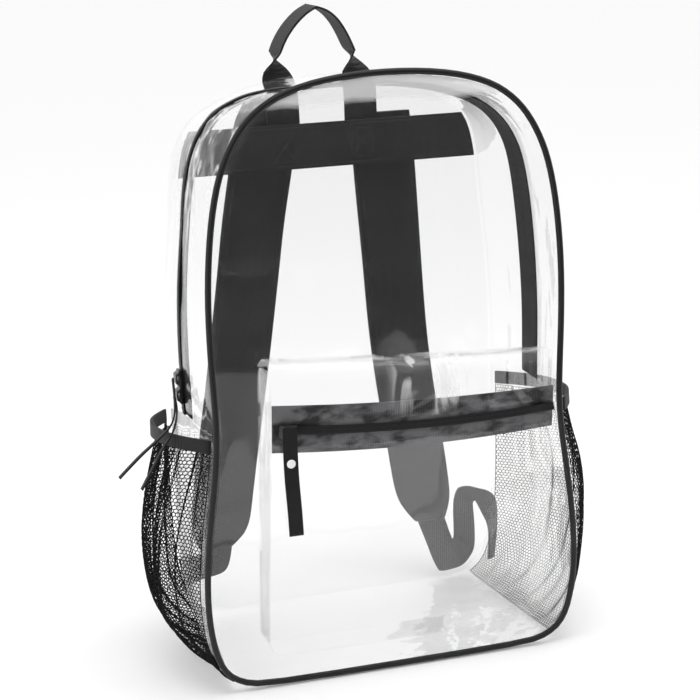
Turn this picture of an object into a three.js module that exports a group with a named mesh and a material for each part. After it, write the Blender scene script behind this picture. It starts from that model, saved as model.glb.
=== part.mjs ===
import * as THREE from 'three';

// A clear vinyl backpack that stands on its base. Lengths are millimetres. +X is to the
// right seen from the front, +Y to the wearer's side and +Z up. The origin is the middle
// of the base's flat underside.

// Bag shell
const BAG_WIDTH = 277; // across the front seam where it is widest
const BAG_HEIGHT = 432;
const BAG_DEPTH = 140; // from the front seam to the back seam
const BACK_WIDTH = 260;
const BACK_HEIGHT = 416;
const GUSSET_BULGE = 5.5; // out of the line between the two seams, at mid-depth
const VINYL = 1;
const CLEARANCE = 0.3; // between pieces that touch
const PIPING_DIAMETER = 5;
const BACK_SEAM_DIAMETER = 3;

// Main zipper
const ZIPPER_BEFORE_MIDDLE = 3;
const ZIPPER_SLOT = 11; // between the two vinyl edges
const TAPE_WIDTH = 14.5; // of one tape
const TAPE = 0.9;
const COIL_WIDTH = 6;
const COIL_HEIGHT = 2;
const SLIDER_LENGTH = 12;
const SLIDER_WIDTH = 8.5;
const SLIDER_HEIGHT = 2.2; // without its bridge
const SLIDER_HEIGHT_ON_BAG = 203; // height of the lower slider above the base
const MAIN_PULL_WIDTH = 4;
const MAIN_PULL = 1.2;

// Harness
const WEBBING_WIDTH = 25;
const WEBBING = 1.6;
const YOKE_DROP = 38; // from the back seam's top to the yoke's upper edge
const YOKE_HEIGHT = 33.5;
const YOKE = 2;
const YOKE_LEFT_INSET = 5; // its left end stops short of the back seam
const STRAP_WIDTH = 49;
const STRAP_PADDING = 10;
const STRAP_BOW = 19; // how far the straps stand off the back
const HAUL_LOOP_RISE = 116; // from the yoke's lower edge to the crest of the loop

// Front pocket
const POCKET_WIDTH = 206;
const POCKET_BASE = 34;
const POCKET_HEIGHT = 204.5;
const POCKET_DEPTH = 33;
const POCKET_SHIFT = 7; // of its top to the right
const POCKET_TILT = 13; // how much lower the right end of its top is
const POCKET_SAG = 3.5; // of the zipper at mid-width
const SAG_BELOW = [0.3, 0.75]; // height shares over which the zipper's sag grows
const SAG_ABOVE = [0.82, 0.95]; // and over which it ends
const POCKET_BOW = 4; // of its face, forwards at mid-width
const POCKET_CORNER = 12;
const POCKET_SPANS = 8; // facets across its bowed face
const POCKET_ZIPPER_DROP = 41.5; // from the pocket's top to its zipper
const POCKET_TAPE_WIDTH = 15.5;
const POCKET_PULL_WIDTH = 10;
const POCKET_PULL_LENGTH = 78;
const POCKET_PULL = 1;
const POCKET_PULL_SWAY = 3; // its tip hangs this much nearer the face and to the right
const POCKET_SLIDER_INSET = 11; // from the pocket's left edge
const RIVET_DIAMETER = 7;

// Side pockets
const NET = 1;
const NET_BULGE = 30; // greatest, out of the gusset
const NET_BASE = 9; // height of its lower edge
const NET_SEAT = 1; // off the gusset where it is sewn down
const PLEATS = 5;
const PLEAT_DEPTH = 2.5;
const HEM_WIDTH = 10;
const HEM = 2;
const HEM_FRONT_HEIGHT = 187;
const HEM_BACK_HEIGHT = 172;

// Half of the two seams, from the end of the flat base round to the middle of the top.
// Columns: place, front half width, front height, back half width, back height, as
// shares of the seams' half widths and heights, then the gusset's bulge on the left and
// on the right, as shares of its greatest. Over the top it sags between the seams.
const OUTLINE = [
  ['base end', 0.73, 0, 0.7, 0, 1, 1],
  ['corner', 0.904, 0.022, 0.876, 0.027, 1, 1],
  ['corner top', 0.975, 0.074, 0.96, 0.09, 1, 1],
  ['bulge', 1, 0.163, 0.987, 0.183, 1, 1],
  ['lower side', 0.979, 0.256, 0.992, 0.268, 1, 1],
  ['above bulge', 0.936, 0.357, 0.997, 0.368, 1, 1],
  ['waist', 0.913, 0.434, 1, 0.45, 1, 1],
  ['pocket top', 0.923, 0.544, 0.996, 0.558, 1, 1],
  ['mid side', 0.926, 0.65, 0.974, 0.663, 1, 0.9],
  ['upper side', 0.903, 0.755, 0.937, 0.768, 0.9, 0.9],
  ['yoke', 0.855, 0.84, 0.915, 0.85, 1, 0.7],
  ['shoulder', 0.787, 0.895, 0.869, 0.902, 1.1, 0.2],
  ['shoulder top', 0.691, 0.939, 0.777, 0.938, 1.1, -0.4],
  ['crown side', 0.546, 0.972, 0.615, 0.967, 0.4, -1],
  ['crown', 0.312, 0.993, 0.354, 0.992, -0.8, -1.3],
  ['top', 0, 1, 0, 1, -1.3, -1.3],
];
const WAIST = 7; // station where the zipper strips meet the base gusset
const TOP = OUTLINE.length; // station of the middle of the top

// Right and left shoulder strap. Columns: height, centre, width, padding, bow, as shares
// of the yoke's top, the bag's half width, the strap's width, its padding and its bow.
const RIGHT_STRAP = [
  [1.0103, 0.319, 1, 0.5, 0],
  [0.9577, 0.334, 1, 0.6, 0],
  [0.9074, 0.348, 1.01, 0.85, 0.03],
  [0.8, 0.389, 1, 1, 0.53],
  [0.6994, 0.42, 0.98, 1, 0.84],
  [0.6057, 0.44, 0.98, 1, 0.98],
  [0.5109, 0.46, 0.97, 1, 1],
  [0.4, 0.494, 0.97, 1, 0.9],
  [0.2914, 0.533, 0.96, 1, 0.72],
  [0.2114, 0.548, 0.96, 0.85, 0.46],
  [0.1714, 0.562, 0.88, 0.65, 0.33],
  [0.136, 0.578, 0.53, 0.35, 0.2],
];
const LEFT_STRAP = [
  [1.055, -0.292, 0.74, 0.4, 0],
  [1.0103, -0.323, 1, 0.5, 0],
  [0.9577, -0.334, 1, 0.6, 0],
  [0.9097, -0.352, 1.01, 0.85, 0.03],
  [0.8, -0.389, 1, 1, 0.53],
  [0.7143, -0.408, 1, 1, 0.84],
  [0.6286, -0.438, 1, 1, 0.98],
  [0.5429, -0.472, 1, 1, 1],
  [0.4343, -0.524, 1, 1, 0.9],
  [0.3223, -0.584, 1, 1, 0.72],
  [0.2171, -0.642, 1, 0.85, 0.46],
  [0.1634, -0.66, 0.94, 0.65, 0.33],
  [0.1349, -0.698, 0.5, 0.35, 0.2],
];

// Strap webbing, as the two edges of its flat band. Columns: first edge's place across
// and height, second edge's, then how far each edge stands off the back seam. Widths are
// shares of the bag's half width, heights of the yoke's top, stand-offs of the strap's bow.
const RIGHT_WEBBING = [
  [0.501, 0.1352, 0.665, 0.1352, 0.34, 0.34],
  [0.567, 0.072, 0.69, 0.1086, 0.43, 0.43],
  [0.633, 0.0149, 0.716, 0.0834, 0.49, 0.49],
  [0.71, 0.0137, 0.722, 0.0811, 0.54, 0.54],
  [0.787, 0.0183, 0.728, 0.08, 0.59, 0.59],
  [0.852, 0.0457, 0.733, 0.0811, 0.62, 0.62],
  [0.863, 0.0697, 0.735, 0.0926, 0.59, 0.59],
  [0.856, 0.128, 0.73, 0.1383, 0.54, 0.54],
  [0.848, 0.1566, 0.733, 0.1737, 0.49, 0.49],
  [0.849, 0.1611, 0.755, 0.1954, 0.43, 0.43],
  [0.851, 0.1646, 0.813, 0.1989, 0.38, 0.38],
  [0.856, 0.1646, 0.886, 0.1897, 0.35, 0.35],
  [0.895, 0.136, 0.933, 0.184, 0.32, 0.36],
  [0.931, 0.1063, 0.996, 0.16, 0.24, 0.6],
  [0.931, 0.0709, 1.014, 0.0949, 0.14, 0.8],
  [0.918, 0.0343, 0.982, 0.0251, 0, 0.6],
];
const LEFT_WEBBING = [
  [-0.61, 0.1339, -0.785, 0.1339, 0.33, 0.33],
  [-0.63, 0.1086, -0.775, 0.1394, 0.25, 0.18],
  [-0.66, 0.088, -0.779, 0.1349, 0.22, 0.16],
  [-0.745, 0.0823, -0.82, 0.1314, 0.12, 0.1],
  [-0.82, 0.08, -0.875, 0.1371, 0.04, 0.06],
  [-0.895, 0.0686, -0.925, 0.1314, 0, 0],
];

// Haul loop. Columns: place across and height above the yoke's lower edge, as shares of
// the webbing's width and of the loop's rise, how far it stands off the back, as a share
// of the webbing's width, and the turn of its flat side from the back panel, in degrees.
const HAUL_LOOP = [
  [-1.26, 0.03, 0, 0],
  [-1.26, 0.35, 0, 0],
  [-1.3, 0.5, 0, 0],
  [-1.35, 0.575, 0.1, 10],
  [-1.38, 0.63, 0.26, 36],
  [-1.39, 0.68, 0.33, 68],
  [-1.34, 0.74, 0.33, 93],
  [-1.15, 0.83, 0.33, 93],
  [-0.77, 0.935, 0.33, 93],
  [-0.18, 1.02, 0.33, 93],
  [0.38, 0.955, 0.33, 93],
  [0.75, 0.83, 0.33, 93],
  [0.94, 0.735, 0.33, 93],
  [1.03, 0.665, 0.3, 62],
  [1.08, 0.605, 0.2, 26],
  [1.11, 0.55, 0.06, 4],
  [1.14, 0.48, 0, 0],
  [1.15, 0.35, 0, 0],
  [1.15, 0.03, 0, 0],
];

// Front pocket's edge seen from the side. Columns: height, depth of the front, depth of
// the back, as shares of the pocket's height and depth.
const POCKET_SIDE = [
  [0.04, 0.76, 0],
  [0.3, 0.84, 0],
  [0.55, 0.93, 0],
  [0.75, 1, 0],
  [0.9, 1, 0],
  [0.945, 0.93, 0],
  [0.97, 0.8, 0.2],
];
// The top of the pocket's face, which turns back to the front panel. Columns as above:
// depth and height of the sheet's outside.
const POCKET_TOP = [
  [1, 0.89],
  [0.985, 0.935],
  [0.9, 0.975],
  [0.72, 1],
  [0.45, 1.005],
  [0.2, 0.985],
  [0, 0.962],
];

// How far the nets stand out of the gusset from their lower edge up to the hem. Columns:
// share of the way up, share of the bulge on the left and on the right.
const NET_PROFILE = [
  [0, 0, 0],
  [0.035, 0.17, 0.16],
  [0.075, 0.34, 0.32],
  [0.12, 0.5, 0.46],
  [0.2, 0.73, 0.6],
  [0.3, 0.9, 0.7],
  [0.43, 0.98, 0.84],
  [0.57, 1, 0.95],
  [0.72, 0.92, 0.92],
  [0.86, 0.78, 0.76],
  [1, 0.62, 0.62],
];

// Main zipper pulls, from the slider to their tips. Columns: place out of the bag's side,
// place towards the front, drop, in pull widths.
const UPPER_PULL = [
  [0, 0, 0],
  [0.3, 2.2, 2.8],
  [1.6, 6, 6.2],
  [4.5, 6.7, 8.7],
  [7.8, 6.9, 11.2],
  [11.8, 7, 14.8],
];
const LOWER_PULL = [
  [0, 0, 0],
  [0.4, 4, 2],
  [2.4, 8.6, 4.3],
  [4.4, 9.2, 6.6],
  [6.2, 9.4, 9.6],
  [8.5, 9.4, 13.5],
];

const PIPING_RADIUS = PIPING_DIAMETER / 2;
const BACK_SEAM_RADIUS = BACK_SEAM_DIAMETER / 2;
const SEAM_LIFT = PIPING_RADIUS; // height of both seams' middle at the base
const SLIDER_TOP = SLIDER_HEIGHT * 1.9; // with its bridge
const PLATEAU = 0.06; // share of the depth over which the gusset rises off a seam
const BACK_FACE = BAG_DEPTH / 2 + VINYL / 2;
const YOKE_TOP = BACK_HEIGHT - YOKE_DROP;
const YOKE_BASE = YOKE_TOP - YOKE_HEIGHT;
const POCKET_ZIPPER_HEIGHT = POCKET_BASE + POCKET_HEIGHT - POCKET_ZIPPER_DROP;
const FRONT_FACE = -BACK_FACE;
const ZIPPER_Y = -ZIPPER_BEFORE_MIDDLE;
const FRONT_EDGE = depthShare(-BAG_DEPTH / 2 + PIPING_RADIUS + CLEARANCE);
const BACK_EDGE = depthShare(BAG_DEPTH / 2 - BACK_SEAM_RADIUS - CLEARANCE);

const BLACK_FABRIC = { color: '#353536', roughness: 0.85, metalness: 0 };
const BLACK_TRIM = { color: '#1d1d1e', roughness: 0.6, metalness: 0 };
const CLEAR_VINYL = { color: '#f4f6f7', roughness: 0.12, metalness: 0 };
const WHITE_RIVET = { color: '#f0f0f0', roughness: 0.35, metalness: 0 };

// Generic solids

function depthShare(y) {
  return (y + BAG_DEPTH / 2) / BAG_DEPTH;
}

function interpolate(table, place, from, to) {
  const last = table.length - 1;
  const rising = table[last][from] > table[0][from];
  let row = 1;
  while (row < last && (rising ? table[row][from] < place : table[row][from] > place)) {
    row += 1;
  }
  const low = table[row - 1];
  const high = table[row];
  const share = (place - low[from]) / (high[from] - low[from]);
  return THREE.MathUtils.lerp(low[to], high[to], THREE.MathUtils.clamp(share, 0, 1));
}

// Joins closed sections of equal length into one closed body. Each open end is closed
// across its section, first point to last.
function loft(sections, closed = false) {
  const count = sections[0].length;
  const positions = sections.flat().flatMap((p) => [p.x, p.y, p.z]);
  const faces = [];
  const spans = closed ? sections.length : sections.length - 1;
  for (let i = 0; i < spans; i += 1) {
    const here = i * count;
    const next = ((i + 1) % sections.length) * count;
    for (let j = 0; j < count; j += 1) {
      const k = (j + 1) % count;
      faces.push(here + j, next + j, next + k, here + j, next + k, here + k);
    }
  }
  if (!closed) {
    const end = (sections.length - 1) * count;
    for (let j = 0; j < count / 2 - 1; j += 1) {
      const a = j;
      const b = j + 1;
      const c = count - 2 - j;
      const d = count - 1 - j;
      faces.push(a, b, c, a, c, d);
      faces.push(end + a, end + c, end + b, end + a, end + d, end + c);
    }
  }
  const geometry = new THREE.BufferGeometry();
  geometry.setAttribute('position', new THREE.Float32BufferAttribute(positions, 3));
  geometry.setIndex(faces);
  return outward(geometry);
}

// Turns a body's faces outwards by the sign of its volume.
function outward(geometry) {
  const p = geometry.attributes.position;
  const index = geometry.index.array;
  const corner = [new THREE.Vector3(), new THREE.Vector3(), new THREE.Vector3()];
  let volume = 0;
  for (let i = 0; i < index.length; i += 3) {
    corner.forEach((v, k) => v.fromBufferAttribute(p, index[i + k]));
    volume += corner[0].dot(corner[1].clone().cross(corner[2]));
  }
  if (volume < 0) {
    for (let i = 0; i < index.length; i += 3) {
      const keep = index[i];
      index[i] = index[i + 1];
      index[i + 1] = keep;
    }
  }
  geometry.computeVertexNormals();
  return geometry;
}

// A flat outline in X and Z with a thickness along Y.
function plate(points, y, thickness) {
  const shape = new THREE.Shape(points.map((p) => new THREE.Vector2(p.x, p.z)));
  const geometry = new THREE.ExtrudeGeometry(shape, { depth: thickness, bevelEnabled: false });
  geometry.rotateX(Math.PI / 2);
  geometry.translate(0, y + thickness, 0);
  return geometry;
}

function piece(name, geometry, finish) {
  const mesh = new THREE.Mesh(geometry, new THREE.MeshStandardMaterial(finish));
  mesh.name = name;
  return mesh;
}

// Shell surface. A station is 0 at the middle of the base, 1 at the end of its flat part
// and TOP at the middle of the top, and negative on the left. A share is 0 at the front
// seam and 1 at the back seam.

function seamCurve(width, height, acrossColumn, heightColumn) {
  const rise = height - 2 * SEAM_LIFT;
  const points = OUTLINE.map((row) => {
    const x = (row[acrossColumn] * width) / 2;
    return new THREE.Vector3(x, 0, SEAM_LIFT + row[heightColumn] * rise);
  });
  const last = points[points.length - 2];
  points.unshift(new THREE.Vector3(points[0].x * 0.85, 0, SEAM_LIFT));
  points.push(new THREE.Vector3(-last.x, 0, last.z));
  return new THREE.CatmullRomCurve3(points, false, 'centripetal');
}

const frontSeam = seamCurve(BAG_WIDTH, BAG_HEIGHT, 1, 2);
const backSeam = seamCurve(BACK_WIDTH, BACK_HEIGHT, 3, 4);

function alongSeam(curve, station) {
  if (station < 1) {
    const end = curve.points[1];
    return new THREE.Vector3(end.x * station, 0, end.z);
  }
  return curve.getPoint(station / (curve.points.length - 1));
}

function seamPoint(station, share) {
  if (station < 0 || station > TOP) {
    const mirrored = seamPoint(station < 0 ? -station : 2 * TOP - station, share);
    return mirrored.setX(-mirrored.x);
  }
  return alongSeam(frontSeam, station).lerp(alongSeam(backSeam, station), share);
}

function seamNormal(station, share) {
  if (Math.abs(station) <= 1) {
    return new THREE.Vector3(0, 0, -1);
  }
  const step = 0.05;
  const ahead = seamPoint(station + step, share);
  const along = ahead.sub(seamPoint(station - step, share));
  return new THREE.Vector3(along.z, 0, -along.x).normalize();
}

const BULGE_ROWS = OUTLINE.map((row, i) => [i + 1, row[5], row[6]]);

function bulge(station, share) {
  const rise = Math.min(1, Math.min(share, 1 - share) / PLATEAU);
  const side = THREE.MathUtils.smoothstep(Math.abs(station), 1, 3);
  const arch = 1 - Math.abs(2 * share - 1) ** 3;
  const pastTop = station > TOP;
  const place = pastTop ? 2 * TOP - station : Math.abs(station);
  const onLeft = station < 0 || pastTop;
  const full = interpolate(BULGE_ROWS, place, 0, onLeft ? 1 : 2);
  return THREE.MathUtils.lerp(SEAM_LIFT * rise, full * GUSSET_BULGE * arch, side);
}

function shellPoint(station, share, offset) {
  const point = seamPoint(station, share);
  point.addScaledVector(seamNormal(station, share), bulge(station, share) + offset);
  return point.setY((share - 0.5) * BAG_DEPTH);
}

// The station on one side whose surface is at a height above the base.
function stationAtHeight(height, share, side = 1) {
  let low = 1;
  let high = TOP;
  for (let i = 0; i < 24; i += 1) {
    const middle = (low + high) / 2;
    if (seamPoint(middle, share).z < height) {
      low = middle;
    } else {
      high = middle;
    }
  }
  return side * low;
}

function range(from, to, steps) {
  return Array.from({ length: steps + 1 }, (_, i) => THREE.MathUtils.lerp(from, to, i / steps));
}

const JOIN = 0.008; // half the gap, in stations, between base gusset and zipper strips
const upperHalf = range(WAIST + JOIN, TOP, 2 * (TOP - WAIST));
const UPPER_STATIONS = [...upperHalf.map((s) => -s), ...upperHalf.slice(0, -1).reverse()];
const baseSide = range(1, WAIST - JOIN, 2 * (WAIST - 1));
const BASE_STATIONS = [...baseSide.map((s) => -s).reverse(), -0.5, 0, 0.5, ...baseSide];
const LOOP_STATIONS = [...range(-TOP, -1, 2 * (TOP - 1)), 0, ...range(1, TOP, 2 * (TOP - 1)).slice(0, -1)];

// A sheet on the shell between two offsets from its outside.
function shellStrip(stations, shares, inner, outer) {
  return loft(stations.map((s) => [
    ...shares.map((v) => shellPoint(s, v, outer)),
    ...shares.map((v) => shellPoint(s, v, inner)).reverse(),
  ]));
}

// Round cord along a seam.
function seamCord(share, radius, sides) {
  return loft(LOOP_STATIONS.map((s) => {
    const middle = seamPoint(s, share).setY((share - 0.5) * BAG_DEPTH);
    const out = seamNormal(s, share);
    return range(0, 1, sides).slice(0, -1).map((turn) => {
      const angle = 2 * Math.PI * turn;
      const point = middle.clone().addScaledVector(out, radius * Math.cos(angle));
      return point.add(new THREE.Vector3(0, radius * Math.sin(angle), 0));
    });
  }), true);
}

function seamPanel(share, inset) {
  const outline = LOOP_STATIONS.map((s) => {
    return seamPoint(s, share).addScaledVector(seamNormal(s, share), -inset);
  });
  return plate(outline, (share - 0.5) * BAG_DEPTH - VINYL / 2, VINYL);
}

function makeShell() {
  const slotFront = depthShare(ZIPPER_Y - ZIPPER_SLOT / 2);
  const slotBack = depthShare(ZIPPER_Y + ZIPPER_SLOT / 2);
  const tapeFront = depthShare(ZIPPER_Y - TAPE_WIDTH);
  const tapeBack = depthShare(ZIPPER_Y + TAPE_WIDTH);
  const frontShares = [FRONT_EDGE, PLATEAU, 0.25, tapeFront, slotFront];
  const backShares = [slotBack, tapeBack, 0.75, 1 - PLATEAU, BACK_EDGE];
  const baseShares = [FRONT_EDGE, PLATEAU, 0.25, 0.5, 0.75, 1 - PLATEAU, BACK_EDGE];
  const shell = new THREE.Group();
  shell.add(
    piece('front_panel', seamPanel(0, PIPING_RADIUS + CLEARANCE), CLEAR_VINYL),
    piece('back_panel', seamPanel(1, BACK_SEAM_RADIUS + CLEARANCE), CLEAR_VINYL),
    piece('gusset_front_strip', shellStrip(UPPER_STATIONS, frontShares, -VINYL, 0), CLEAR_VINYL),
    piece('gusset_back_strip', shellStrip(UPPER_STATIONS, backShares, -VINYL, 0), CLEAR_VINYL),
    piece('base_gusset', shellStrip(BASE_STATIONS, baseShares, -VINYL, 0), CLEAR_VINYL),
    piece('front_piping', seamCord(0, PIPING_RADIUS, 8), BLACK_TRIM),
    piece('back_seam', seamCord(1, BACK_SEAM_RADIUS, 6), CLEAR_VINYL),
  );
  return shell;
}

// Main zipper

// Slider body with its bridge, lying on X and Y with Z out of the tape and Y along it.
function sliderGeometry() {
  const half = SLIDER_LENGTH / 2;
  const wall = SLIDER_HEIGHT * 0.35;
  const eyeBase = SLIDER_HEIGHT * 1.05;
  const side = new THREE.Shape([
    new THREE.Vector2(-half, 0),
    new THREE.Vector2(half, 0),
    new THREE.Vector2(half, SLIDER_HEIGHT * 0.8),
    new THREE.Vector2(half * 0.75, SLIDER_HEIGHT),
    new THREE.Vector2(half * 0.55, SLIDER_TOP),
    new THREE.Vector2(-half * 0.55, SLIDER_TOP),
    new THREE.Vector2(-half * 0.75, SLIDER_HEIGHT),
    new THREE.Vector2(-half, SLIDER_HEIGHT * 0.8),
  ]);
  const eye = new THREE.Path([
    new THREE.Vector2(-half * 0.4, eyeBase),
    new THREE.Vector2(half * 0.4, eyeBase),
    new THREE.Vector2(half * 0.35, SLIDER_TOP - wall),
    new THREE.Vector2(-half * 0.35, SLIDER_TOP - wall),
  ]);
  side.holes.push(eye);
  const geometry = new THREE.ExtrudeGeometry(side, { depth: SLIDER_WIDTH, bevelEnabled: false });
  geometry.translate(0, 0, -SLIDER_WIDTH / 2);
  // side's first axis goes along Y, its second out along Z
  geometry.applyMatrix4(new THREE.Matrix4().makeBasis(
    new THREE.Vector3(0, 1, 0),
    new THREE.Vector3(0, 0, 1),
    new THREE.Vector3(1, 0, 0),
  ));
  return geometry;
}

// Puts a mesh on the shell: its X towards the front, its Y up the tape, its Z outwards.
function seatOnShell(mesh, height, share, offset) {
  const station = stationAtHeight(height, share, -1);
  const out = seamNormal(station, share);
  const forward = new THREE.Vector3(0, -1, 0);
  const up = new THREE.Vector3().crossVectors(out, forward);
  mesh.position.copy(shellPoint(station, share, offset));
  mesh.quaternion.setFromRotationMatrix(new THREE.Matrix4().makeBasis(forward, up, out));
  return mesh;
}

// A narrow ribbon hanging from the side of a slider: rows give its middle.
function hangingRibbon(start, rows, width, thickness) {
  const middle = rows.map(([out, forward, drop]) => new THREE.Vector3(
    start.x - out * width,
    start.y - forward * width,
    start.z - drop * width,
  ));
  const path = new THREE.CatmullRomCurve3(middle, false, 'centripetal');
  const out = new THREE.Vector3(1, 0, 0);
  return loft(range(0, 1, 2 * rows.length).map((t) => {
    const across = path.getTangent(t).cross(out).normalize();
    const thin = path.getTangent(t).cross(across).normalize();
    return band(path.getPoint(t), across, thin, width, thickness);
  }));
}

// Four corners of a flat band's section.
function band(middle, across, thin, width, thickness) {
  const corners = [[-1, -1], [1, -1], [1, 1], [-1, 1]];
  return corners.map(([a, t]) => middle.clone()
    .addScaledVector(across, (a * width) / 2)
    .addScaledVector(thin, (t * thickness) / 2));
}

function makeMainZipper() {
  const edge = CLEARANCE / 2;
  const tapeOuter = -VINYL - CLEARANCE;
  const tapeInner = tapeOuter - TAPE;
  const coilInner = tapeOuter + CLEARANCE;
  const coilOuter = coilInner + COIL_HEIGHT;
  const frontTape = [depthShare(ZIPPER_Y - TAPE_WIDTH), depthShare(ZIPPER_Y - edge)];
  const backTape = [depthShare(ZIPPER_Y + edge), depthShare(ZIPPER_Y + TAPE_WIDTH)];
  const half = COIL_WIDTH / 2;
  const coil = [depthShare(ZIPPER_Y - half), depthShare(ZIPPER_Y), depthShare(ZIPPER_Y + half)];
  const zipper = new THREE.Group();
  zipper.add(
    piece('main_zipper_tape_front', shellStrip(UPPER_STATIONS, frontTape, tapeInner, tapeOuter), BLACK_TRIM),
    piece('main_zipper_tape_back', shellStrip(UPPER_STATIONS, backTape, tapeInner, tapeOuter), BLACK_TRIM),
    piece('main_zipper_coil', shellStrip(UPPER_STATIONS, coil, coilInner, coilOuter), BLACK_TRIM),
  );
  const middle = depthShare(ZIPPER_Y);
  const onCoil = coilOuter + CLEARANCE;
  const places = [['upper', UPPER_PULL, SLIDER_LENGTH + CLEARANCE], ['lower', LOWER_PULL, 0]];
  for (const [name, rows, rise] of places) {
    const height = SLIDER_HEIGHT_ON_BAG + rise;
    const slider = piece(`main_slider_${name}`, sliderGeometry(), BLACK_TRIM);
    zipper.add(seatOnShell(slider, height, middle, onCoil));
    const top = SLIDER_TOP + CLEARANCE + MAIN_PULL;
    const start = shellPoint(stationAtHeight(height, middle, -1), middle, onCoil + top);
    const ribbon = hangingRibbon(start, rows, MAIN_PULL_WIDTH, MAIN_PULL);
    zipper.add(piece(`main_pull_${name}`, ribbon, BLACK_FABRIC));
  }
  return zipper;
}

// Harness

// Half width of the back panel's seam at a height.
function backHalfWidth(height) {
  return seamPoint(stationAtHeight(height, 1), 1).x;
}

function yokeGeometry() {
  const inset = BACK_SEAM_RADIUS + CLEARANCE;
  const heights = range(YOKE_BASE, YOKE_TOP, 5);
  const right = heights.map((z) => new THREE.Vector3(backHalfWidth(z) - inset, 0, z));
  const left = right.map((p) => new THREE.Vector3(YOKE_LEFT_INSET - p.x, 0, p.z)).reverse();
  return plate([...right, ...left], BACK_FACE + CLEARANCE, YOKE);
}

const WEBBING_Y = BACK_FACE + CLEARANCE + YOKE + CLEARANCE + WEBBING / 2;
const STRAP_SEAT = WEBBING_Y + WEBBING / 2 + CLEARANCE;

function haulLoopGeometry() {
  const middle = HAUL_LOOP.map(([across, rise, off]) => new THREE.Vector3(
    across * WEBBING_WIDTH,
    WEBBING_Y + off * WEBBING_WIDTH,
    YOKE_BASE + rise * HAUL_LOOP_RISE,
  ));
  const path = new THREE.CatmullRomCurve3(middle, false, 'centripetal');
  const rows = HAUL_LOOP.map((row, i) => [i / (HAUL_LOOP.length - 1), row[3]]);
  return loft(range(0, 1, 2 * (HAUL_LOOP.length - 1)).map((t) => {
    const turn = THREE.MathUtils.degToRad(interpolate(rows, t, 0, 1));
    const across = new THREE.Vector3(Math.cos(turn), Math.sin(turn), 0);
    const thin = new THREE.Vector3().crossVectors(path.getTangent(t), across).normalize();
    return band(path.getPoint(t), across, thin, WEBBING_WIDTH, WEBBING);
  }));
}

// Padded strap: its section is a bar with rounded edges.
function strapGeometry(rows) {
  const section = [
    [-0.5, -0.2], [-0.44, -0.5], [0.44, -0.5], [0.5, -0.2],
    [0.5, 0.2], [0.44, 0.5], [-0.44, 0.5], [-0.5, 0.2],
  ];
  return loft(rows.map(([height, centre, width, padding, bow]) => {
    const thickness = padding * STRAP_PADDING;
    const y = STRAP_SEAT + bow * STRAP_BOW + thickness / 2;
    return section.map(([across, thin]) => new THREE.Vector3(
      (centre * BAG_WIDTH) / 2 + across * width * STRAP_WIDTH,
      y + thin * thickness,
      height * YOKE_TOP,
    ));
  }));
}

// Flat webbing between two edge curves.
function webbingGeometry(rows) {
  const seat = BAG_DEPTH / 2 + BACK_SEAM_RADIUS + CLEARANCE + WEBBING / 2;
  const edge = (across, height, off) => new THREE.CatmullRomCurve3(rows.map((row) => {
    const x = (row[across] * BAG_WIDTH) / 2;
    return new THREE.Vector3(x, seat + row[off] * STRAP_BOW, row[height] * YOKE_TOP);
  }), false, 'centripetal');
  const first = edge(0, 1, 4);
  const second = edge(2, 3, 5);
  return loft(range(0, 1, 2 * (rows.length - 1)).map((t) => {
    const a = first.getPoint(t);
    const b = second.getPoint(t);
    const along = first.getTangent(t).add(second.getTangent(t));
    const across = b.clone().sub(a);
    const thin = new THREE.Vector3().crossVectors(across, along).normalize();
    const middle = a.clone().add(b).multiplyScalar(0.5);
    const width = across.length();
    return band(middle, across.normalize(), thin, width, WEBBING);
  }));
}

function makeHarness() {
  const harness = new THREE.Group();
  harness.add(
    piece('yoke_band', yokeGeometry(), BLACK_FABRIC),
    piece('haul_loop', haulLoopGeometry(), BLACK_FABRIC),
    piece('shoulder_strap_right', strapGeometry(RIGHT_STRAP), BLACK_FABRIC),
    piece('shoulder_strap_left', strapGeometry(LEFT_STRAP), BLACK_FABRIC),
    piece('strap_webbing_right', webbingGeometry(RIGHT_WEBBING), BLACK_FABRIC),
    piece('strap_webbing_left', webbingGeometry(LEFT_WEBBING), BLACK_FABRIC),
  );
  return harness;
}

// Front pocket. Its sheets are worked out from the height share and the depth share.

// A point of the pocket. Across goes from 0 at its left edge to 1 at its right edge, and
// the depths are shares of the pocket's depth.
function pocketPoint(across, heightShare, depth, behind = 0) {
  const x = pocketX(heightShare, 2 * across - 1);
  const middle = 4 * across * (1 - across);
  const zipped = THREE.MathUtils.smoothstep(heightShare, ...SAG_BELOW)
    * (1 - THREE.MathUtils.smoothstep(heightShare, ...SAG_ABOVE));
  const drop = POCKET_TILT * heightShare ** 3 * (across - 0.5) + POCKET_SAG * middle * zipped;
  const face = Math.max(0, depth);
  const y = pocketY(depth) - POCKET_BOW * middle * Math.min(1, face) + behind;
  return new THREE.Vector3(x, y, pocketZ(heightShare) - drop);
}

function pocketX(heightShare, side) {
  return heightShare * POCKET_SHIFT + (side * POCKET_WIDTH) / 2;
}

function pocketZ(heightShare) {
  return POCKET_BASE + heightShare * POCKET_HEIGHT;
}

function pocketHeightShare(z) {
  return (z - POCKET_BASE) / POCKET_HEIGHT;
}

function pocketY(depth) {
  return FRONT_FACE - CLEARANCE - depth * POCKET_DEPTH;
}

function pocketFaceDepth(heightShare) {
  return interpolate(POCKET_SIDE, heightShare, 0, 1);
}

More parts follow.
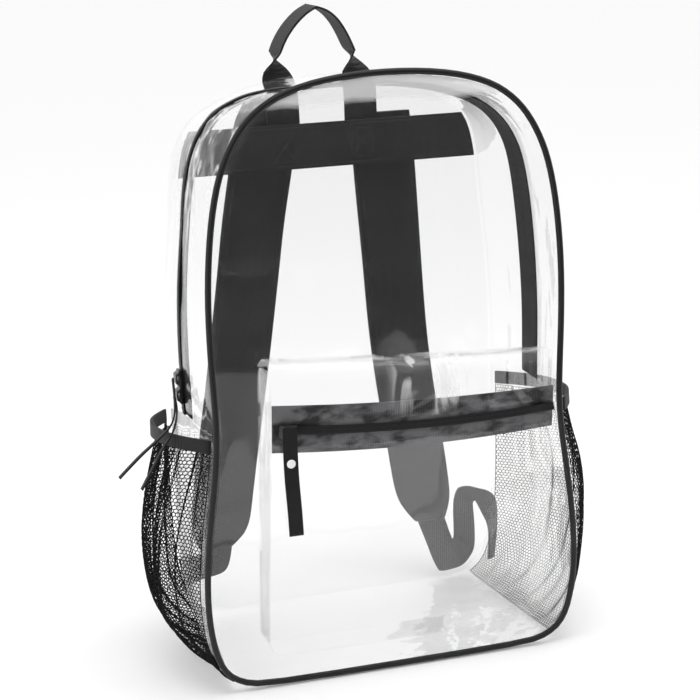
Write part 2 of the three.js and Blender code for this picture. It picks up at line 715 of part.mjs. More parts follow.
// Side and base wall of the pocket, one strip. Rows give its outside and the way out.
function pocketGussetGeometry() {
  const walls = [];
  const setBack = (VINYL + CLEARANCE) / POCKET_DEPTH;
  for (const [heightShare, ahead, behind] of [...POCKET_SIDE].reverse()) {
    if (pocketZ(heightShare) > POCKET_BASE + POCKET_CORNER) {
      walls.push([heightShare, ahead - setBack, behind, Math.PI]);
    }
  }
  for (const turn of range(0, 1, 4)) {
    const lift = (POCKET_CORNER * (1 - Math.sin((turn * Math.PI) / 2))) / POCKET_HEIGHT;
    const depth = pocketFaceDepth(lift) - setBack;
    walls.push([lift, depth, 0, Math.PI * (1 + turn / 2)]);
  }
  const section = (side) => ([heightShare, ahead, behind, angle]) => {
    const inset = (POCKET_CORNER * (1 + Math.cos(angle))) / POCKET_WIDTH;
    const across = side < 0 ? inset : 1 - inset;
    const inward = new THREE.Vector3(side * Math.cos(angle), 0, -Math.sin(angle)).multiplyScalar(VINYL);
    const outside = [behind, ahead].map((depth) => wallPoint(across, heightShare, depth));
    const inside = outside.map((point) => point.clone().add(inward)).reverse();
    return [...outside, ...inside];
  };
  const [floorShare, front, back] = walls[walls.length - 1];
  const corner = POCKET_CORNER / POCKET_WIDTH;
  const base = range(corner, 1 - corner, POCKET_SPANS).slice(1, -1).map((across) => {
    const outside = [back, front].map((depth) => wallPoint(across, floorShare, depth));
    const inside = outside.map((point) => point.clone().add(new THREE.Vector3(0, 0, VINYL))).reverse();
    return [...outside, ...inside];
  });
  return loft([...walls.map(section(-1)), ...base, ...[...walls].reverse().map(section(1))]);
}

// A point of the pocket's wall, whose front edge follows the face.
function wallPoint(across, heightShare, depth) {
  const point = pocketPoint(across, heightShare, depth);
  return depth > 0 ? point : point.setY(pocketY(0));
}

// Lower face, with rounded lower corners, from the base up to the zipper.
function pocketLowerFaceGeometry(topZ) {
  const rows = [];
  for (const turn of range(0, 1, 4)) {
    const angle = (turn * Math.PI) / 2;
    const heightShare = (POCKET_CORNER * (1 - Math.cos(angle))) / POCKET_HEIGHT;
    rows.push([heightShare, POCKET_CORNER * (1 - Math.sin(angle))]);
  }
  for (const z of range(POCKET_BASE + POCKET_CORNER, topZ, 6).slice(1)) {
    rows.push([pocketHeightShare(z), 0]);
  }
  return loft(rows.map(([heightShare, corner]) => {
    return faceSection(heightShare, corner / POCKET_WIDTH, 0, VINYL);
  }));
}

// Section of a sheet that lies along the face, from one place behind it to another.
function faceSection(heightShare, inset, near, far) {
  const depth = pocketFaceDepth(heightShare);
  const places = range(0, 1, POCKET_SPANS).map((u) => THREE.MathUtils.clamp(u, inset, 1 - inset));
  const front = places.map((u) => pocketPoint(u, heightShare, depth, near));
  const back = places.map((u) => pocketPoint(u, heightShare, depth, far)).reverse();
  return [...front, ...back];
}

// Upper face, from the zipper up and back to the front panel.
function pocketUpperFaceGeometry(baseZ) {
  const outside = [[1, pocketHeightShare(baseZ)], ...POCKET_TOP];
  return loft(range(0, 1, POCKET_SPANS).map((across) => {
    const out = outside.map(([depth, heightShare]) => pocketPoint(across, heightShare, depth));
    const inside = out.map((point, i) => {
      const before = out[Math.max(i - 1, 0)];
      const after = out[Math.min(i + 1, out.length - 1)];
      const along = after.clone().sub(before).setX(0).normalize();
      return point.clone().add(new THREE.Vector3(0, along.z, -along.y).multiplyScalar(VINYL));
    });
    return [...out, ...inside.reverse()];
  }));
}

// A band behind or on the pocket's face, between two heights.
function pocketBand(lowZ, highZ, near, far, inset) {
  return loft([lowZ, highZ].map((z) => {
    return faceSection(pocketHeightShare(z), inset / POCKET_WIDTH, near, far);
  }));
}

function makePocket() {
  const slotTop = POCKET_ZIPPER_HEIGHT + ZIPPER_SLOT / 2;
  const slotBase = POCKET_ZIPPER_HEIGHT - ZIPPER_SLOT / 2;
  const edge = CLEARANCE / 2;
  const behind = VINYL + CLEARANCE;
  const sideInset = VINYL + CLEARANCE;
  const tapeTop = POCKET_ZIPPER_HEIGHT + POCKET_TAPE_WIDTH;
  const tapeBase = POCKET_ZIPPER_HEIGHT - POCKET_TAPE_WIDTH;
  const coilTop = POCKET_ZIPPER_HEIGHT + COIL_WIDTH / 2;
  const coilBase = POCKET_ZIPPER_HEIGHT - COIL_WIDTH / 2;
  const coilNear = behind - CLEARANCE - COIL_HEIGHT;
  const upperTape = pocketBand(POCKET_ZIPPER_HEIGHT + edge, tapeTop, behind, behind + TAPE, sideInset);
  const lowerTape = pocketBand(tapeBase, POCKET_ZIPPER_HEIGHT - edge, behind, behind + TAPE, sideInset);
  const coil = pocketBand(coilBase, coilTop, coilNear, behind - CLEARANCE, sideInset);
  const pocket = new THREE.Group();
  pocket.add(
    piece('pocket_gusset', pocketGussetGeometry(), CLEAR_VINYL),
    piece('pocket_face_lower', pocketLowerFaceGeometry(slotBase), CLEAR_VINYL),
    piece('pocket_face_upper', pocketUpperFaceGeometry(slotTop), CLEAR_VINYL),
    piece('pocket_zipper_tape_upper', upperTape, BLACK_TRIM),
    piece('pocket_zipper_tape_lower', lowerTape, BLACK_TRIM),
    piece('pocket_zipper_coil', coil, BLACK_TRIM),
  );
  const heightShare = pocketHeightShare(POCKET_ZIPPER_HEIGHT);
  const across = POCKET_SLIDER_INSET / POCKET_WIDTH;
  const end = SLIDER_LENGTH / 2 / POCKET_WIDTH;
  const lie = (u) => pocketPoint(u, heightShare, pocketFaceDepth(heightShare), coilNear - CLEARANCE);
  const along = lie(across + end).sub(lie(across - end)).normalize();
  const out = new THREE.Vector3(along.y, -along.x, 0).normalize();
  const seat = lie(across).addScaledVector(out, CLEARANCE);
  const slider = piece('pocket_slider', sliderGeometry(), BLACK_TRIM);
  // its length lies along the zipper, its bridge to the front
  slider.quaternion.setFromRotationMatrix(new THREE.Matrix4().makeBasis(
    new THREE.Vector3().crossVectors(along, out),
    along,
    out,
  ));
  slider.position.copy(seat);
  pocket.add(slider, ...makePocketPull(seat));
  return pocket;
}

// Ribbon that hangs from the slider's bridge, closed by a rivet near its top.
function makePocketPull(seat) {
  const front = seat.y - SLIDER_TOP - 2 * CLEARANCE - POCKET_PULL / 2;
  const top = seat.z + SLIDER_WIDTH / 2;
  const rows = [
    [0, 0],
    [0.4, 0],
    [0.6, 0.4],
    [0.8, 0.8],
    [1, 1],
  ];
  const ribbon = loft(rows.map(([drop, share]) => band(
    new THREE.Vector3(
      seat.x + share * POCKET_PULL_SWAY,
      front + share * POCKET_PULL_SWAY,
      top - drop * POCKET_PULL_LENGTH,
    ),
    new THREE.Vector3(1, 0, 0),
    new THREE.Vector3(0, 1, 0),
    POCKET_PULL_WIDTH,
    POCKET_PULL,
  )));
  const radius = RIVET_DIAMETER / 2;
  const rivet = new THREE.LatheGeometry([
    new THREE.Vector2(0, 0),
    new THREE.Vector2(radius, 0),
    new THREE.Vector2(radius * 0.85, radius * 0.35),
    new THREE.Vector2(0, radius * 0.5),
  ], 12);
  const head = piece('pull_rivet', rivet, WHITE_RIVET);
  head.rotation.x = Math.PI;
  const drop = SLIDER_WIDTH + 2.4 * RIVET_DIAMETER;
  head.position.set(seat.x, front - POCKET_PULL / 2 - CLEARANCE, top - drop);
  return [piece('pocket_pull', ribbon, BLACK_FABRIC), head];
}

// Side pockets

function netOut(side, share, up) {
  const arch = 1 - Math.abs(2 * share - 1) ** 2.2;
  return NET_SEAT + NET_BULGE * arch * interpolate(NET_PROFILE, up, 0, side > 0 ? 2 : 1);
}

function hemHeight(share) {
  return THREE.MathUtils.lerp(HEM_FRONT_HEIGHT, HEM_BACK_HEIGHT, share);
}

function netPoint(side, share, up, offset) {
  const top = hemHeight(share) - HEM_WIDTH - CLEARANCE;
  const height = THREE.MathUtils.lerp(NET_BASE, top, up);
  const station = stationAtHeight(height, share, side);
  const pleat = (1 - Math.cos(2 * Math.PI * PLEATS * share)) / 2;
  const out = netOut(side, share, up) + PLEAT_DEPTH * pleat * up;
  return shellPoint(station, share, out + offset);
}

function netGeometry(side) {
  const shares = range(FRONT_EDGE, BACK_EDGE, 4 * PLEATS);
  return loft(NET_PROFILE.map(([up]) => [
    ...shares.map((v) => netPoint(side, v, up, NET)),
    ...shares.map((v) => netPoint(side, v, up, 0)).reverse(),
  ]));
}

function hemGeometry(side) {
  const shares = range(FRONT_EDGE, BACK_EDGE, 2 * PLEATS);
  return loft(shares.map((share) => {
    const top = hemHeight(share);
    const offset = netOut(side, share, 1);
    const edge = (height, out) => {
      return shellPoint(stationAtHeight(height, share, side), share, offset + out);
    };
    return [edge(top - HEM_WIDTH, 0), edge(top - HEM_WIDTH, HEM), edge(top, HEM), edge(top, 0)];
  }));
}

function makeSidePockets() {
  const pockets = new THREE.Group();
  for (const [name, side] of [['left', -1], ['right', 1]]) {
    pockets.add(
      piece(`mesh_pocket_${name}`, netGeometry(side), BLACK_FABRIC),
      piece(`mesh_hem_${name}`, hemGeometry(side), BLACK_FABRIC),
    );
  }
  return pockets;
}

const backpack = new THREE.Group();
backpack.add(
  makeShell(),
  makeMainZipper(),
  makeHarness(),
  makePocket(),
  makeSidePockets(),
);

export default backpack;
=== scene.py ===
"""A clear vinyl backpack with black trim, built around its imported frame. Lengths in metres."""

import math

import bmesh
import bpy
import numpy as np
from bpy.props import FloatProperty, PointerProperty, StringProperty
from mathutils import Matrix, Vector, noise
from mathutils.kdtree import KDTree


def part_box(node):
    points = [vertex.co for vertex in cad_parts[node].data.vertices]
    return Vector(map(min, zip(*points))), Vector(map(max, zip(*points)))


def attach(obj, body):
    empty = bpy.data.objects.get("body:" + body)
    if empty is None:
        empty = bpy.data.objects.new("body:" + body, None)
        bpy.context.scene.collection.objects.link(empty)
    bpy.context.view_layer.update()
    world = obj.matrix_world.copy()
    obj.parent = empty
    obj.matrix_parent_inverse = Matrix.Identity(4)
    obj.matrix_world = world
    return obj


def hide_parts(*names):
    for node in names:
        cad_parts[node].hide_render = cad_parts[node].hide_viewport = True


bl_info = {
    "name": "Clear stadium backpack",
    "version": (1, 0, 0),
    "blender": (4, 5, 0),
    "location": "3D View > Sidebar > Backpack",
    "description": "Dresses the backpack's frame in vinyl, cloth, net and zippers",
    "category": "Object",
}

MM = 0.001
PVC_INDEX = 1.36  # below PVC's own 1.53, for the low glare of a studio picture
PANEL_STEP = 6 * MM  # grid of the flat panels
STITCH_PITCH = 3.6 * MM
STITCH_LENGTH = 2.7 * MM
TOOTH_PITCH = 1.35 * MM
NET_ROWS, NET_STEPS = 24, 90

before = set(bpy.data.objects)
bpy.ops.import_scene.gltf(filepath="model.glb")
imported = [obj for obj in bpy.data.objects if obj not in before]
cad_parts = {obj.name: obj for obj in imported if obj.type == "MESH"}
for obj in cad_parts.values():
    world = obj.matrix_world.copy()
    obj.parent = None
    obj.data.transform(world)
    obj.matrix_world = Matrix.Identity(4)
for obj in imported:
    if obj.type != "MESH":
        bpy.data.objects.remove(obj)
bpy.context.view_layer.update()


# Settings


class VinylSettings(bpy.types.PropertyGroup):
    thickness: FloatProperty(
        name="Sheet thickness", description="Of the clear sheet", default=0.5 * MM,
        subtype="DISTANCE", unit="LENGTH")
    ripple: FloatProperty(
        name="Ripple", description="Height of the slow waves in the panels", default=0.55 * MM,
        subtype="DISTANCE", unit="LENGTH")
    roughness: FloatProperty(
        name="Roughness", description="Of the glossy face", default=0.045, min=0, max=1)
    haze: FloatProperty(
        name="Haze", description="Share of light that the sheet scatters", default=0.004,
        min=0, max=1, subtype="FACTOR")
    colour: StringProperty(
        name="Colour", description="sRGB hex of the light through it", default="#fefefe")


class ClothSettings(bpy.types.PropertyGroup):
    strap_colour: StringProperty(
        name="Strap colour", description="sRGB hex of the padded straps", default="#262627")
    webbing_colour: StringProperty(
        name="Webbing colour", description="sRGB hex of the webbing and loop", default="#1c1c1d")
    tape_colour: StringProperty(
        name="Tape colour", description="sRGB hex of the zipper tape", default="#131314")
    thread: FloatProperty(
        name="Thread spacing", description="Between the yarns of the strap cloth",
        default=0.9 * MM, subtype="DISTANCE", unit="LENGTH")
    rib: FloatProperty(
        name="Rib spacing", description="Between the ribs of the webbing", default=1.8 * MM,
        subtype="DISTANCE", unit="LENGTH")


class NetSettings(bpy.types.PropertyGroup):
    cell: FloatProperty(
        name="Cell", description="Width of one six-sided hole from middle to middle",
        default=2.9 * MM, subtype="DISTANCE", unit="LENGTH")
    strand: FloatProperty(
        name="Strand", description="Width of a strand", default=0.5 * MM,
        subtype="DISTANCE", unit="LENGTH")
    pleat: FloatProperty(
        name="Pleat depth", description="Depth of the gathers below the hem", default=5 * MM,
        subtype="DISTANCE", unit="LENGTH")
    colour: StringProperty(
        name="Net colour", description="sRGB hex of the strands", default="#101011")


class StageSettings(bpy.types.PropertyGroup):
    lens: FloatProperty(
        name="Lens", description="Focal length on a 36 mm sensor", default=97.46,
        subtype="DISTANCE_CAMERA", unit="CAMERA")
    floor_reach: FloatProperty(
        name="Floor reach", description="From the bag's middle to the table's front edge",
        default=0.64, subtype="DISTANCE", unit="LENGTH")
    light: FloatProperty(
        name="Light", description="Strength of the overhead softbox", default=6, unit="POWER")


# Middle lines of the ribbon pulls from the slider to the free end, in millimetres
PULLS = {
    "main_pull_upper": (4, (
        (-140.92, -3.0, 215.05), (-141.28, -6.5, 210.38), (-141.76, -10.14, 205.71),
        (-142.92, -15.55, 200.4), (-144.78, -22.7, 194.62), (-148.05, -27.57, 189.36),
        (-152.64, -29.12, 185.13), (-157.89, -29.67, 181.07), (-163.2, -30.24, 176.98),
        (-168.74, -30.48, 172.91), (-174.73, -30.7, 168.03), (-181.4, -30.86, 162.01),
        (-188.12, -31.0, 155.85))),
    "main_pull_lower": (4, (
        (-140.68, -3.0, 202.79), (-141.07, -9.64, 199.47), (-141.7, -16.3, 196.14),
        (-143.74, -23.96, 192.6), (-147.14, -32.53, 188.93), (-150.89, -37.95, 184.9),
        (-154.24, -39.31, 181.24), (-157.64, -39.69, 177.23), (-160.74, -40.23, 172.62),
        (-163.65, -40.49, 167.56), (-166.95, -40.66, 161.91), (-170.79, -40.65, 155.39),
        (-174.68, -40.6, 148.79))),
    "pocket_pull": (10, (
        (-86.44, -111.49, 203.48), (-86.44, -111.49, 172.28), (-85.24, -110.29, 156.68),
        (-84.04, -109.09, 141.08), (-83.44, -108.49, 125.48))),
}


# Materials


def linear(colour):
    """Linear RGBA of an sRGB hex value."""
    parts = [int(colour[i:i + 2], 16) / 255 for i in (1, 3, 5)]
    return [p / 12.92 if p <= 0.04045 else ((p + 0.055) / 1.055) ** 2.4 for p in parts] + [1]


def add(tree, kind, inputs=None, **settings):
    """Adds a node. Inputs are values, or sockets to link."""
    node = tree.nodes.new(kind)
    for name, value in settings.items():
        setattr(node, name, value)
    for name, value in (inputs or {}).items():
        socket = node.inputs[name]
        if isinstance(value, bpy.types.NodeSocket):
            tree.links.new(value, socket)
        else:
            socket.default_value = value
    return node


def blank(name):
    """A new material with only its output node."""
    material = bpy.data.materials.new(name)
    material.use_nodes = True
    material.node_tree.nodes.clear()
    return material, material.node_tree


def output(tree, socket):
    add(tree, "ShaderNodeOutputMaterial", {"Surface": socket})


def clear_pvc(name, ripple_scale, ripple_depth, painted_glare_height=None, painted_highlights=None):
    """Calendered clear PVC sheet: it lets nearly all light through and mirrors a little,
    more at a flat angle, and its slow waves bend the reflections into streaks. Above a
    given height the sheet turns milky, a painted glare of its bent-over top. Given a
    place and two distances, pale streaks of painted highlight lie round the place, out to
    the far distance from it."""
    vinyl = bpy.context.scene.bag_vinyl
    material, tree = blank(name)
    spot = add(tree, "ShaderNodeTexCoord").outputs["Object"]
    # streaks run up the sheet, so the waves are stretched along its height
    stretched = add(tree, "ShaderNodeMapping", {"Vector": spot, "Scale": (1, 1, 0.3)})
    waves = add(tree, "ShaderNodeTexNoise", {
        "Vector": stretched.outputs["Vector"], "Scale": ripple_scale, "Detail": 2.5,
        "Roughness": 0.45})
    bump = add(tree, "ShaderNodeBump", {
        "Height": waves.outputs["Fac"], "Strength": 1, "Distance": ripple_depth})
    shine = add(tree, "ShaderNodeBsdfGlossy", {
        "Color": (1, 1, 1, 1), "Roughness": vinyl.roughness, "Normal": bump.outputs["Normal"]})
    clear = add(tree, "ShaderNodeBsdfTransparent", {"Color": linear(vinyl.colour)})
    # Fresnel turns its index over where light leaves the sheet, which the map undoes
    side = add(tree, "ShaderNodeNewGeometry").outputs["Backfacing"]
    index = add(tree, "ShaderNodeMapRange", {
        "Value": side, "To Min": PVC_INDEX, "To Max": 1 / PVC_INDEX})
    facing = add(tree, "ShaderNodeFresnel", {
        "IOR": index.outputs["Result"], "Normal": bump.outputs["Normal"]})
    sheet = add(tree, "ShaderNodeMixShader", {
        0: facing.outputs["Fac"], 1: clear.outputs["BSDF"], 2: shine.outputs["BSDF"]})
    milk = add(tree, "ShaderNodeBsdfDiffuse", {"Color": (0.9, 0.9, 0.9, 1)})
    haze = vinyl.haze
    # painted glare: above the given height, wobbled by noise, the milk share rises from the haze
    # to 0.42, a milky band painted in for the glare on the sheet's bent-over top
    if painted_glare_height:
        height = add(tree, "ShaderNodeSeparateXYZ", {"Vector": spot}).outputs["Z"]
        wander = add(tree, "ShaderNodeTexNoise", {"Vector": spot, "Scale": 18, "Detail": 2})
        edge = add(tree, "ShaderNodeMath", {
            0: wander.outputs["Fac"], 1: 0.012, 2: height}, operation="MULTIPLY_ADD")
        haze = add(tree, "ShaderNodeMapRange", {
            "Value": edge.outputs["Value"], "From Min": painted_glare_height + 0.004, "From Max": painted_glare_height + 0.009,
            "To Min": vinyl.haze, "To Max": 0.42}).outputs["Result"]
    # painted highlights: stretched noise gives streaks of milk up to a share of 0.5, fading out
    # between the two distances from the place, painted in for highlights on the creases
    if painted_highlights:
        middle, near_by, far_off = painted_highlights
        line = add(tree, "ShaderNodeMapping", {
            "Vector": spot, "Rotation": (0.6, 0.25, 0), "Scale": (1, 1, 0.22)})
        folds = add(tree, "ShaderNodeTexNoise", {
            "Vector": line.outputs["Vector"], "Scale": 95, "Detail": 2, "Distortion": 0.8})
        pale = add(tree, "ShaderNodeMapRange", {
            "Value": folds.outputs["Fac"], "From Min": 0.53, "From Max": 0.66,
            "To Min": 0, "To Max": 0.5}, interpolation_type="SMOOTHSTEP")
        away = add(tree, "ShaderNodeVectorMath", {0: spot, 1: middle}, operation="DISTANCE")
        near = add(tree, "ShaderNodeMapRange", {
            "Value": away.outputs["Value"], "From Min": near_by, "From Max": far_off,
            "To Min": 1, "To Max": 0}, interpolation_type="SMOOTHSTEP")
        haze = add(tree, "ShaderNodeMath", {
            0: pale.outputs["Result"], 1: near.outputs["Result"], 2: vinyl.haze},
            operation="MULTIPLY_ADD").outputs["Value"]
    # the milk share is the sheet's own haze, with the painted glare and painted highlights above
    # added where they are given
    hazy = add(tree, "ShaderNodeMixShader", {
        0: haze, 1: sheet.outputs["Shader"], 2: milk.outputs["BSDF"]})
    # light that goes on to a dull surface passes the sheet whole, as the real one bends
    # hardly any of it away
    path = add(tree, "ShaderNodeLightPath")
    onward = add(tree, "ShaderNodeMath", {
        0: path.outputs["Is Shadow Ray"], 1: path.outputs["Is Diffuse Ray"]},
        operation="MAXIMUM")
    whole = add(tree, "ShaderNodeMixShader", {
        0: onward.outputs["Value"], 1: hazy.outputs["Shader"], 2: clear.outputs["BSDF"]})
    output(tree, whole.outputs["Shader"])
    return material


def piping_pvc():
    """Extruded black PVC piping: smooth, with a soft long highlight."""
    material, tree = blank("extruded_pvc_piping")
    spot = add(tree, "ShaderNodeTexCoord").outputs["Object"]
    grain = add(tree, "ShaderNodeTexNoise", {"Vector": spot, "Scale": 260, "Detail": 2})
    bump = add(tree, "ShaderNodeBump", {
        "Height": grain.outputs["Fac"], "Strength": 0.4, "Distance": 0.0001})
    shader = add(tree, "ShaderNodeBsdfPrincipled", {
        "Base Color": linear("#141415"), "Roughness": 0.45, "Specular IOR Level": 0.35,
        "Normal": bump.outputs["Normal"]})
    output(tree, shader.outputs["BSDF"])
    return material


def woven(name, colour, spacing, rib_share, roughness, sheen, specular=0.2):
    """Woven synthetic cloth: yarns cross at the spacing, ribs may stand across it, and
    fine fibre ends give it a dull, slightly pale edge."""
    material, tree = blank(name)
    spot = add(tree, "ShaderNodeTexCoord").outputs["Object"]
    # a wave of the texture is 2 pi / 20 long at scale 1
    scale = 2 * math.pi / 20 / spacing
    warp = add(tree, "ShaderNodeTexWave", {"Vector": spot, "Scale": scale, "Distortion": 0.3},
               bands_direction="X")
    weft = add(tree, "ShaderNodeTexWave", {
        "Vector": spot, "Scale": scale * rib_share, "Distortion": 0.3}, bands_direction="Z")
    cross = add(tree, "ShaderNodeMath", {0: warp.outputs["Fac"], 1: weft.outputs["Fac"]},
                operation="MULTIPLY")
    bump = add(tree, "ShaderNodeBump", {
        "Height": cross.outputs["Value"], "Strength": 0.6, "Distance": 0.0003})
    cloud = add(tree, "ShaderNodeTexNoise", {"Vector": spot, "Scale": 35, "Detail": 3})
    base = linear(colour)
    worn = [min(1, c * 1.35) for c in base[:3]] + [1]
    ramp = add(tree, "ShaderNodeValToRGB", {"Fac": cloud.outputs["Fac"]})
    ramp.color_ramp.elements[0].color = base
    ramp.color_ramp.elements[0].position = 0.35
    ramp.color_ramp.elements[1].color = worn
    ramp.color_ramp.elements[1].position = 0.75
    shader = add(tree, "ShaderNodeBsdfPrincipled", {
        "Base Color": ramp.outputs["Color"], "Roughness": roughness,
        "Specular IOR Level": specular, "Sheen Weight": sheen, "Sheen Roughness": 0.5,
        "Normal": bump.outputs["Normal"]})
    output(tree, shader.outputs["BSDF"])
    return material


def tape_with_painted_reflection():
    """Woven black tape welded to the back of a clear sheet, its colour painted with the sheet's
    reflection: grey where air lies between them, black in patches where the sheet
    touches the cloth."""
    material, tree = blank("tape_under_vinyl_painted_reflection")
    spot = add(tree, "ShaderNodeTexCoord").outputs["Object"]
    stretched = add(tree, "ShaderNodeMapping", {"Vector": spot, "Scale": (1, 1, 2)})
    blot = add(tree, "ShaderNodeTexNoise", {
        "Vector": stretched.outputs["Vector"], "Scale": 38, "Detail": 3, "Roughness": 0.6})
    weave = add(tree, "ShaderNodeTexWave", {
        "Vector": spot, "Scale": 2 * math.pi / 20 / (1.2 * MM), "Distortion": 0.4})
    bump = add(tree, "ShaderNodeBump", {
        "Height": weave.outputs["Fac"], "Strength": 0.5, "Distance": 0.0002})
    # painted reflection: noise mixes dark grey #303031 with paler grey #6a6a6c, painted in for
    # the sheet's reflection over the black tape
    ramp = add(tree, "ShaderNodeValToRGB", {"Fac": blot.outputs["Fac"]})
    ramp.color_ramp.elements[0].color = linear("#303031")
    ramp.color_ramp.elements[0].position = 0.4
    ramp.color_ramp.elements[1].color = linear("#6a6a6c")
    ramp.color_ramp.elements[1].position = 0.56
    shader = add(tree, "ShaderNodeBsdfPrincipled", {
        "Base Color": ramp.outputs["Color"], "Roughness": 0.75, "Specular IOR Level": 0.2,
        "Normal": bump.outputs["Normal"]})
    output(tree, shader.outputs["BSDF"])
    return material


def net_nylon():
    """Knitted nylon net: thin dull strands with a faint shine along the yarn."""
    material, tree = blank("knitted_nylon_net")
    spot = add(tree, "ShaderNodeTexCoord").outputs["Object"]
    yarn = add(tree, "ShaderNodeTexNoise", {"Vector": spot, "Scale": 1800, "Detail": 1})
    bump = add(tree, "ShaderNodeBump", {
        "Height": yarn.outputs["Fac"], "Strength": 0.5, "Distance": 0.0002})
    shader = add(tree, "ShaderNodeBsdfPrincipled", {
        "Base Color": linear(bpy.context.scene.bag_net.colour), "Roughness": 0.8,
        "Specular IOR Level": 0.15,
        "Normal": bump.outputs["Normal"]})
    output(tree, shader.outputs["BSDF"])
    return material


def moulded_nylon():
    """Moulded black nylon coil: satin, with a faint grain."""
    material, tree = blank("moulded_nylon_coil")
    spot = add(tree, "ShaderNodeTexCoord").outputs["Object"]
    grain = add(tree, "ShaderNodeTexNoise", {"Vector": spot, "Scale": 700, "Detail": 1})
    bump = add(tree, "ShaderNodeBump", {
        "Height": grain.outputs["Fac"], "Strength": 0.3, "Distance": 0.0001})
    shader = add(tree, "ShaderNodeBsdfPrincipled", {
        "Base Color": linear("#0e0e0f"), "Roughness": 0.4, "Specular IOR Level": 0.35,
        "Normal": bump.outputs["Normal"]})
    output(tree, shader.outputs["BSDF"])
    return material


def spun_thread():
    """Spun polyester sewing thread: dark, dull, slightly twisted."""
    material, tree = blank("spun_polyester_thread")
    spot = add(tree, "ShaderNodeTexCoord").outputs["Object"]
    twist = add(tree, "ShaderNodeTexNoise", {"Vector": spot, "Scale": 2500, "Detail": 1})
    bump = add(tree, "ShaderNodeBump", {
        "Height": twist.outputs["Fac"], "Strength": 0.5, "Distance": 0.0001})
    shader = add(tree, "ShaderNodeBsdfPrincipled", {
        "Base Color": linear("#3c3c3e"), "Roughness": 0.7, "Specular IOR Level": 0.3,
        "Normal": bump.outputs["Normal"]})
    output(tree, shader.outputs["BSDF"])
    return material


def painted_zinc():
    """Die-cast zinc under black paint: satin, a little uneven."""
    material, tree = blank("painted_die_cast_zinc")
    spot = add(tree, "ShaderNodeTexCoord").outputs["Object"]
    cast = add(tree, "ShaderNodeTexNoise", {"Vector": spot, "Scale": 500, "Detail": 2})
    bump = add(tree, "ShaderNodeBump", {
        "Height": cast.outputs["Fac"], "Strength": 0.3, "Distance": 0.0001})
    shader = add(tree, "ShaderNodeBsdfPrincipled", {
        "Base Color": linear("#161617"), "Roughness": 0.35, "Coat Weight": 0.3,
        "Coat Roughness": 0.2, "Normal": bump.outputs["Normal"]})
    output(tree, shader.outputs["BSDF"])
    return material


def moulded_white():
    """Moulded white plastic rivet: smooth, with a small bright spot."""
    material, tree = blank("moulded_white_plastic")
    spot = add(tree, "ShaderNodeTexCoord").outputs["Object"]
    skin = add(tree, "ShaderNodeTexNoise", {"Vector": spot, "Scale": 900, "Detail": 1})
    bump = add(tree, "ShaderNodeBump", {
        "Height": skin.outputs["Fac"], "Strength": 0.2, "Distance": 0.00005})
    shader = add(tree, "ShaderNodeBsdfPrincipled", {
        "Base Color": linear("#f2f2f2"), "Roughness": 0.3, "Normal": bump.outputs["Normal"]})
    output(tree, shader.outputs["BSDF"])
    return material


# Making pieces


def only(obj):
    """Makes one object the active and only selected one."""
    bpy.ops.object.select_all(action="DESELECT")
    obj.select_set(True)
    bpy.context.view_layer.objects.active = obj
    return obj


def copy_of(node, name):
    """A merged copy of a frame node's mesh, its triangles paired into quads."""
    obj = bpy.data.objects.new(name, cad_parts[node].data.copy())
    bpy.context.scene.collection.objects.link(obj)
    obj.data.materials.clear()
    only(obj)
    bpy.ops.object.mode_set(mode="EDIT")
    bpy.ops.mesh.select_all(action="SELECT")
    bpy.ops.mesh.remove_doubles(threshold=0.00001)
    limit = math.radians(60)
    bpy.ops.mesh.tris_convert_to_quads(face_threshold=limit, shape_threshold=limit)
    bpy.ops.object.mode_set(mode="OBJECT")
    return obj


def edit(obj, action):
    """Runs an action on the object's bmesh."""
    work = bmesh.new()
    work.from_mesh(obj.data)
    action(work)
    work.to_mesh(obj.data)
    work.free()
    obj.data.update()
    return obj


def modify(obj, kind, **settings):
    """Adds a modifier and applies it."""
    only(obj)
    modifier = obj.modifiers.new(kind.lower(), kind)
    for name, value in settings.items():
        setattr(modifier, name, value)
    bpy.ops.object.modifier_apply(modifier=modifier.name)
    return obj


def smooth(obj, levels):
    return modify(obj, "SUBSURF", levels=levels, render_levels=levels)


def crease_sharp(obj, degrees=50):
    """Keeps the edges that are sharper than an angle when the piece is subdivided."""
    def action(work):
        layer = work.edges.layers.float.get("crease_edge")
        layer = layer or work.edges.layers.float.new("crease_edge")
        for edge in work.edges:
            if len(edge.link_faces) != 2 or edge.calc_face_angle(0) > math.radians(degrees):
                edge[layer] = 1
    return edit(obj, action)


def hold_ends(obj):
    """Keeps the flat ends of an upright strap where they are when it is subdivided."""
    heights = [v.co.z for v in obj.data.vertices]
    ends = min(heights), max(heights)

    def action(work):
        layer = work.edges.layers.float.get("crease_edge")
        layer = layer or work.edges.layers.float.new("crease_edge")
        for edge in work.edges:
            if any(all(abs(v.co.z - end) < 0.3 * MM for v in edge.verts) for end in ends):
                edge[layer] = 1
    return edit(obj, action)


def keep_faces(obj, wanted):
    """Deletes every face that a test on its middle and normal doesn't want."""
    def action(work):
        unwanted = [f for f in work.faces if not wanted(f.calc_center_median(), f.normal)]
        bmesh.ops.delete(work, geom=unwanted, context="FACES")
    return edit(obj, action)


def push(obj, distance):
    """Moves each vertex along its normal by a distance worked out from its place."""
    mesh = obj.data
    normals = [v.normal.copy() for v in mesh.vertices]
    for vertex, normal in zip(mesh.vertices, normals):
        vertex.co += normal * distance(vertex.co)
    mesh.update()
    return obj


def place(obj, material, slot, *nodes):
    """Gives a finished piece its material and its place on the bag; the slot is not used."""
    obj.data.materials.clear()
    obj.data.materials.append(material)
    only(obj)
    bpy.ops.object.shade_smooth_by_angle(angle=math.radians(40))
    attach(obj, "root")
    if nodes:
        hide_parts(*nodes)
    return obj


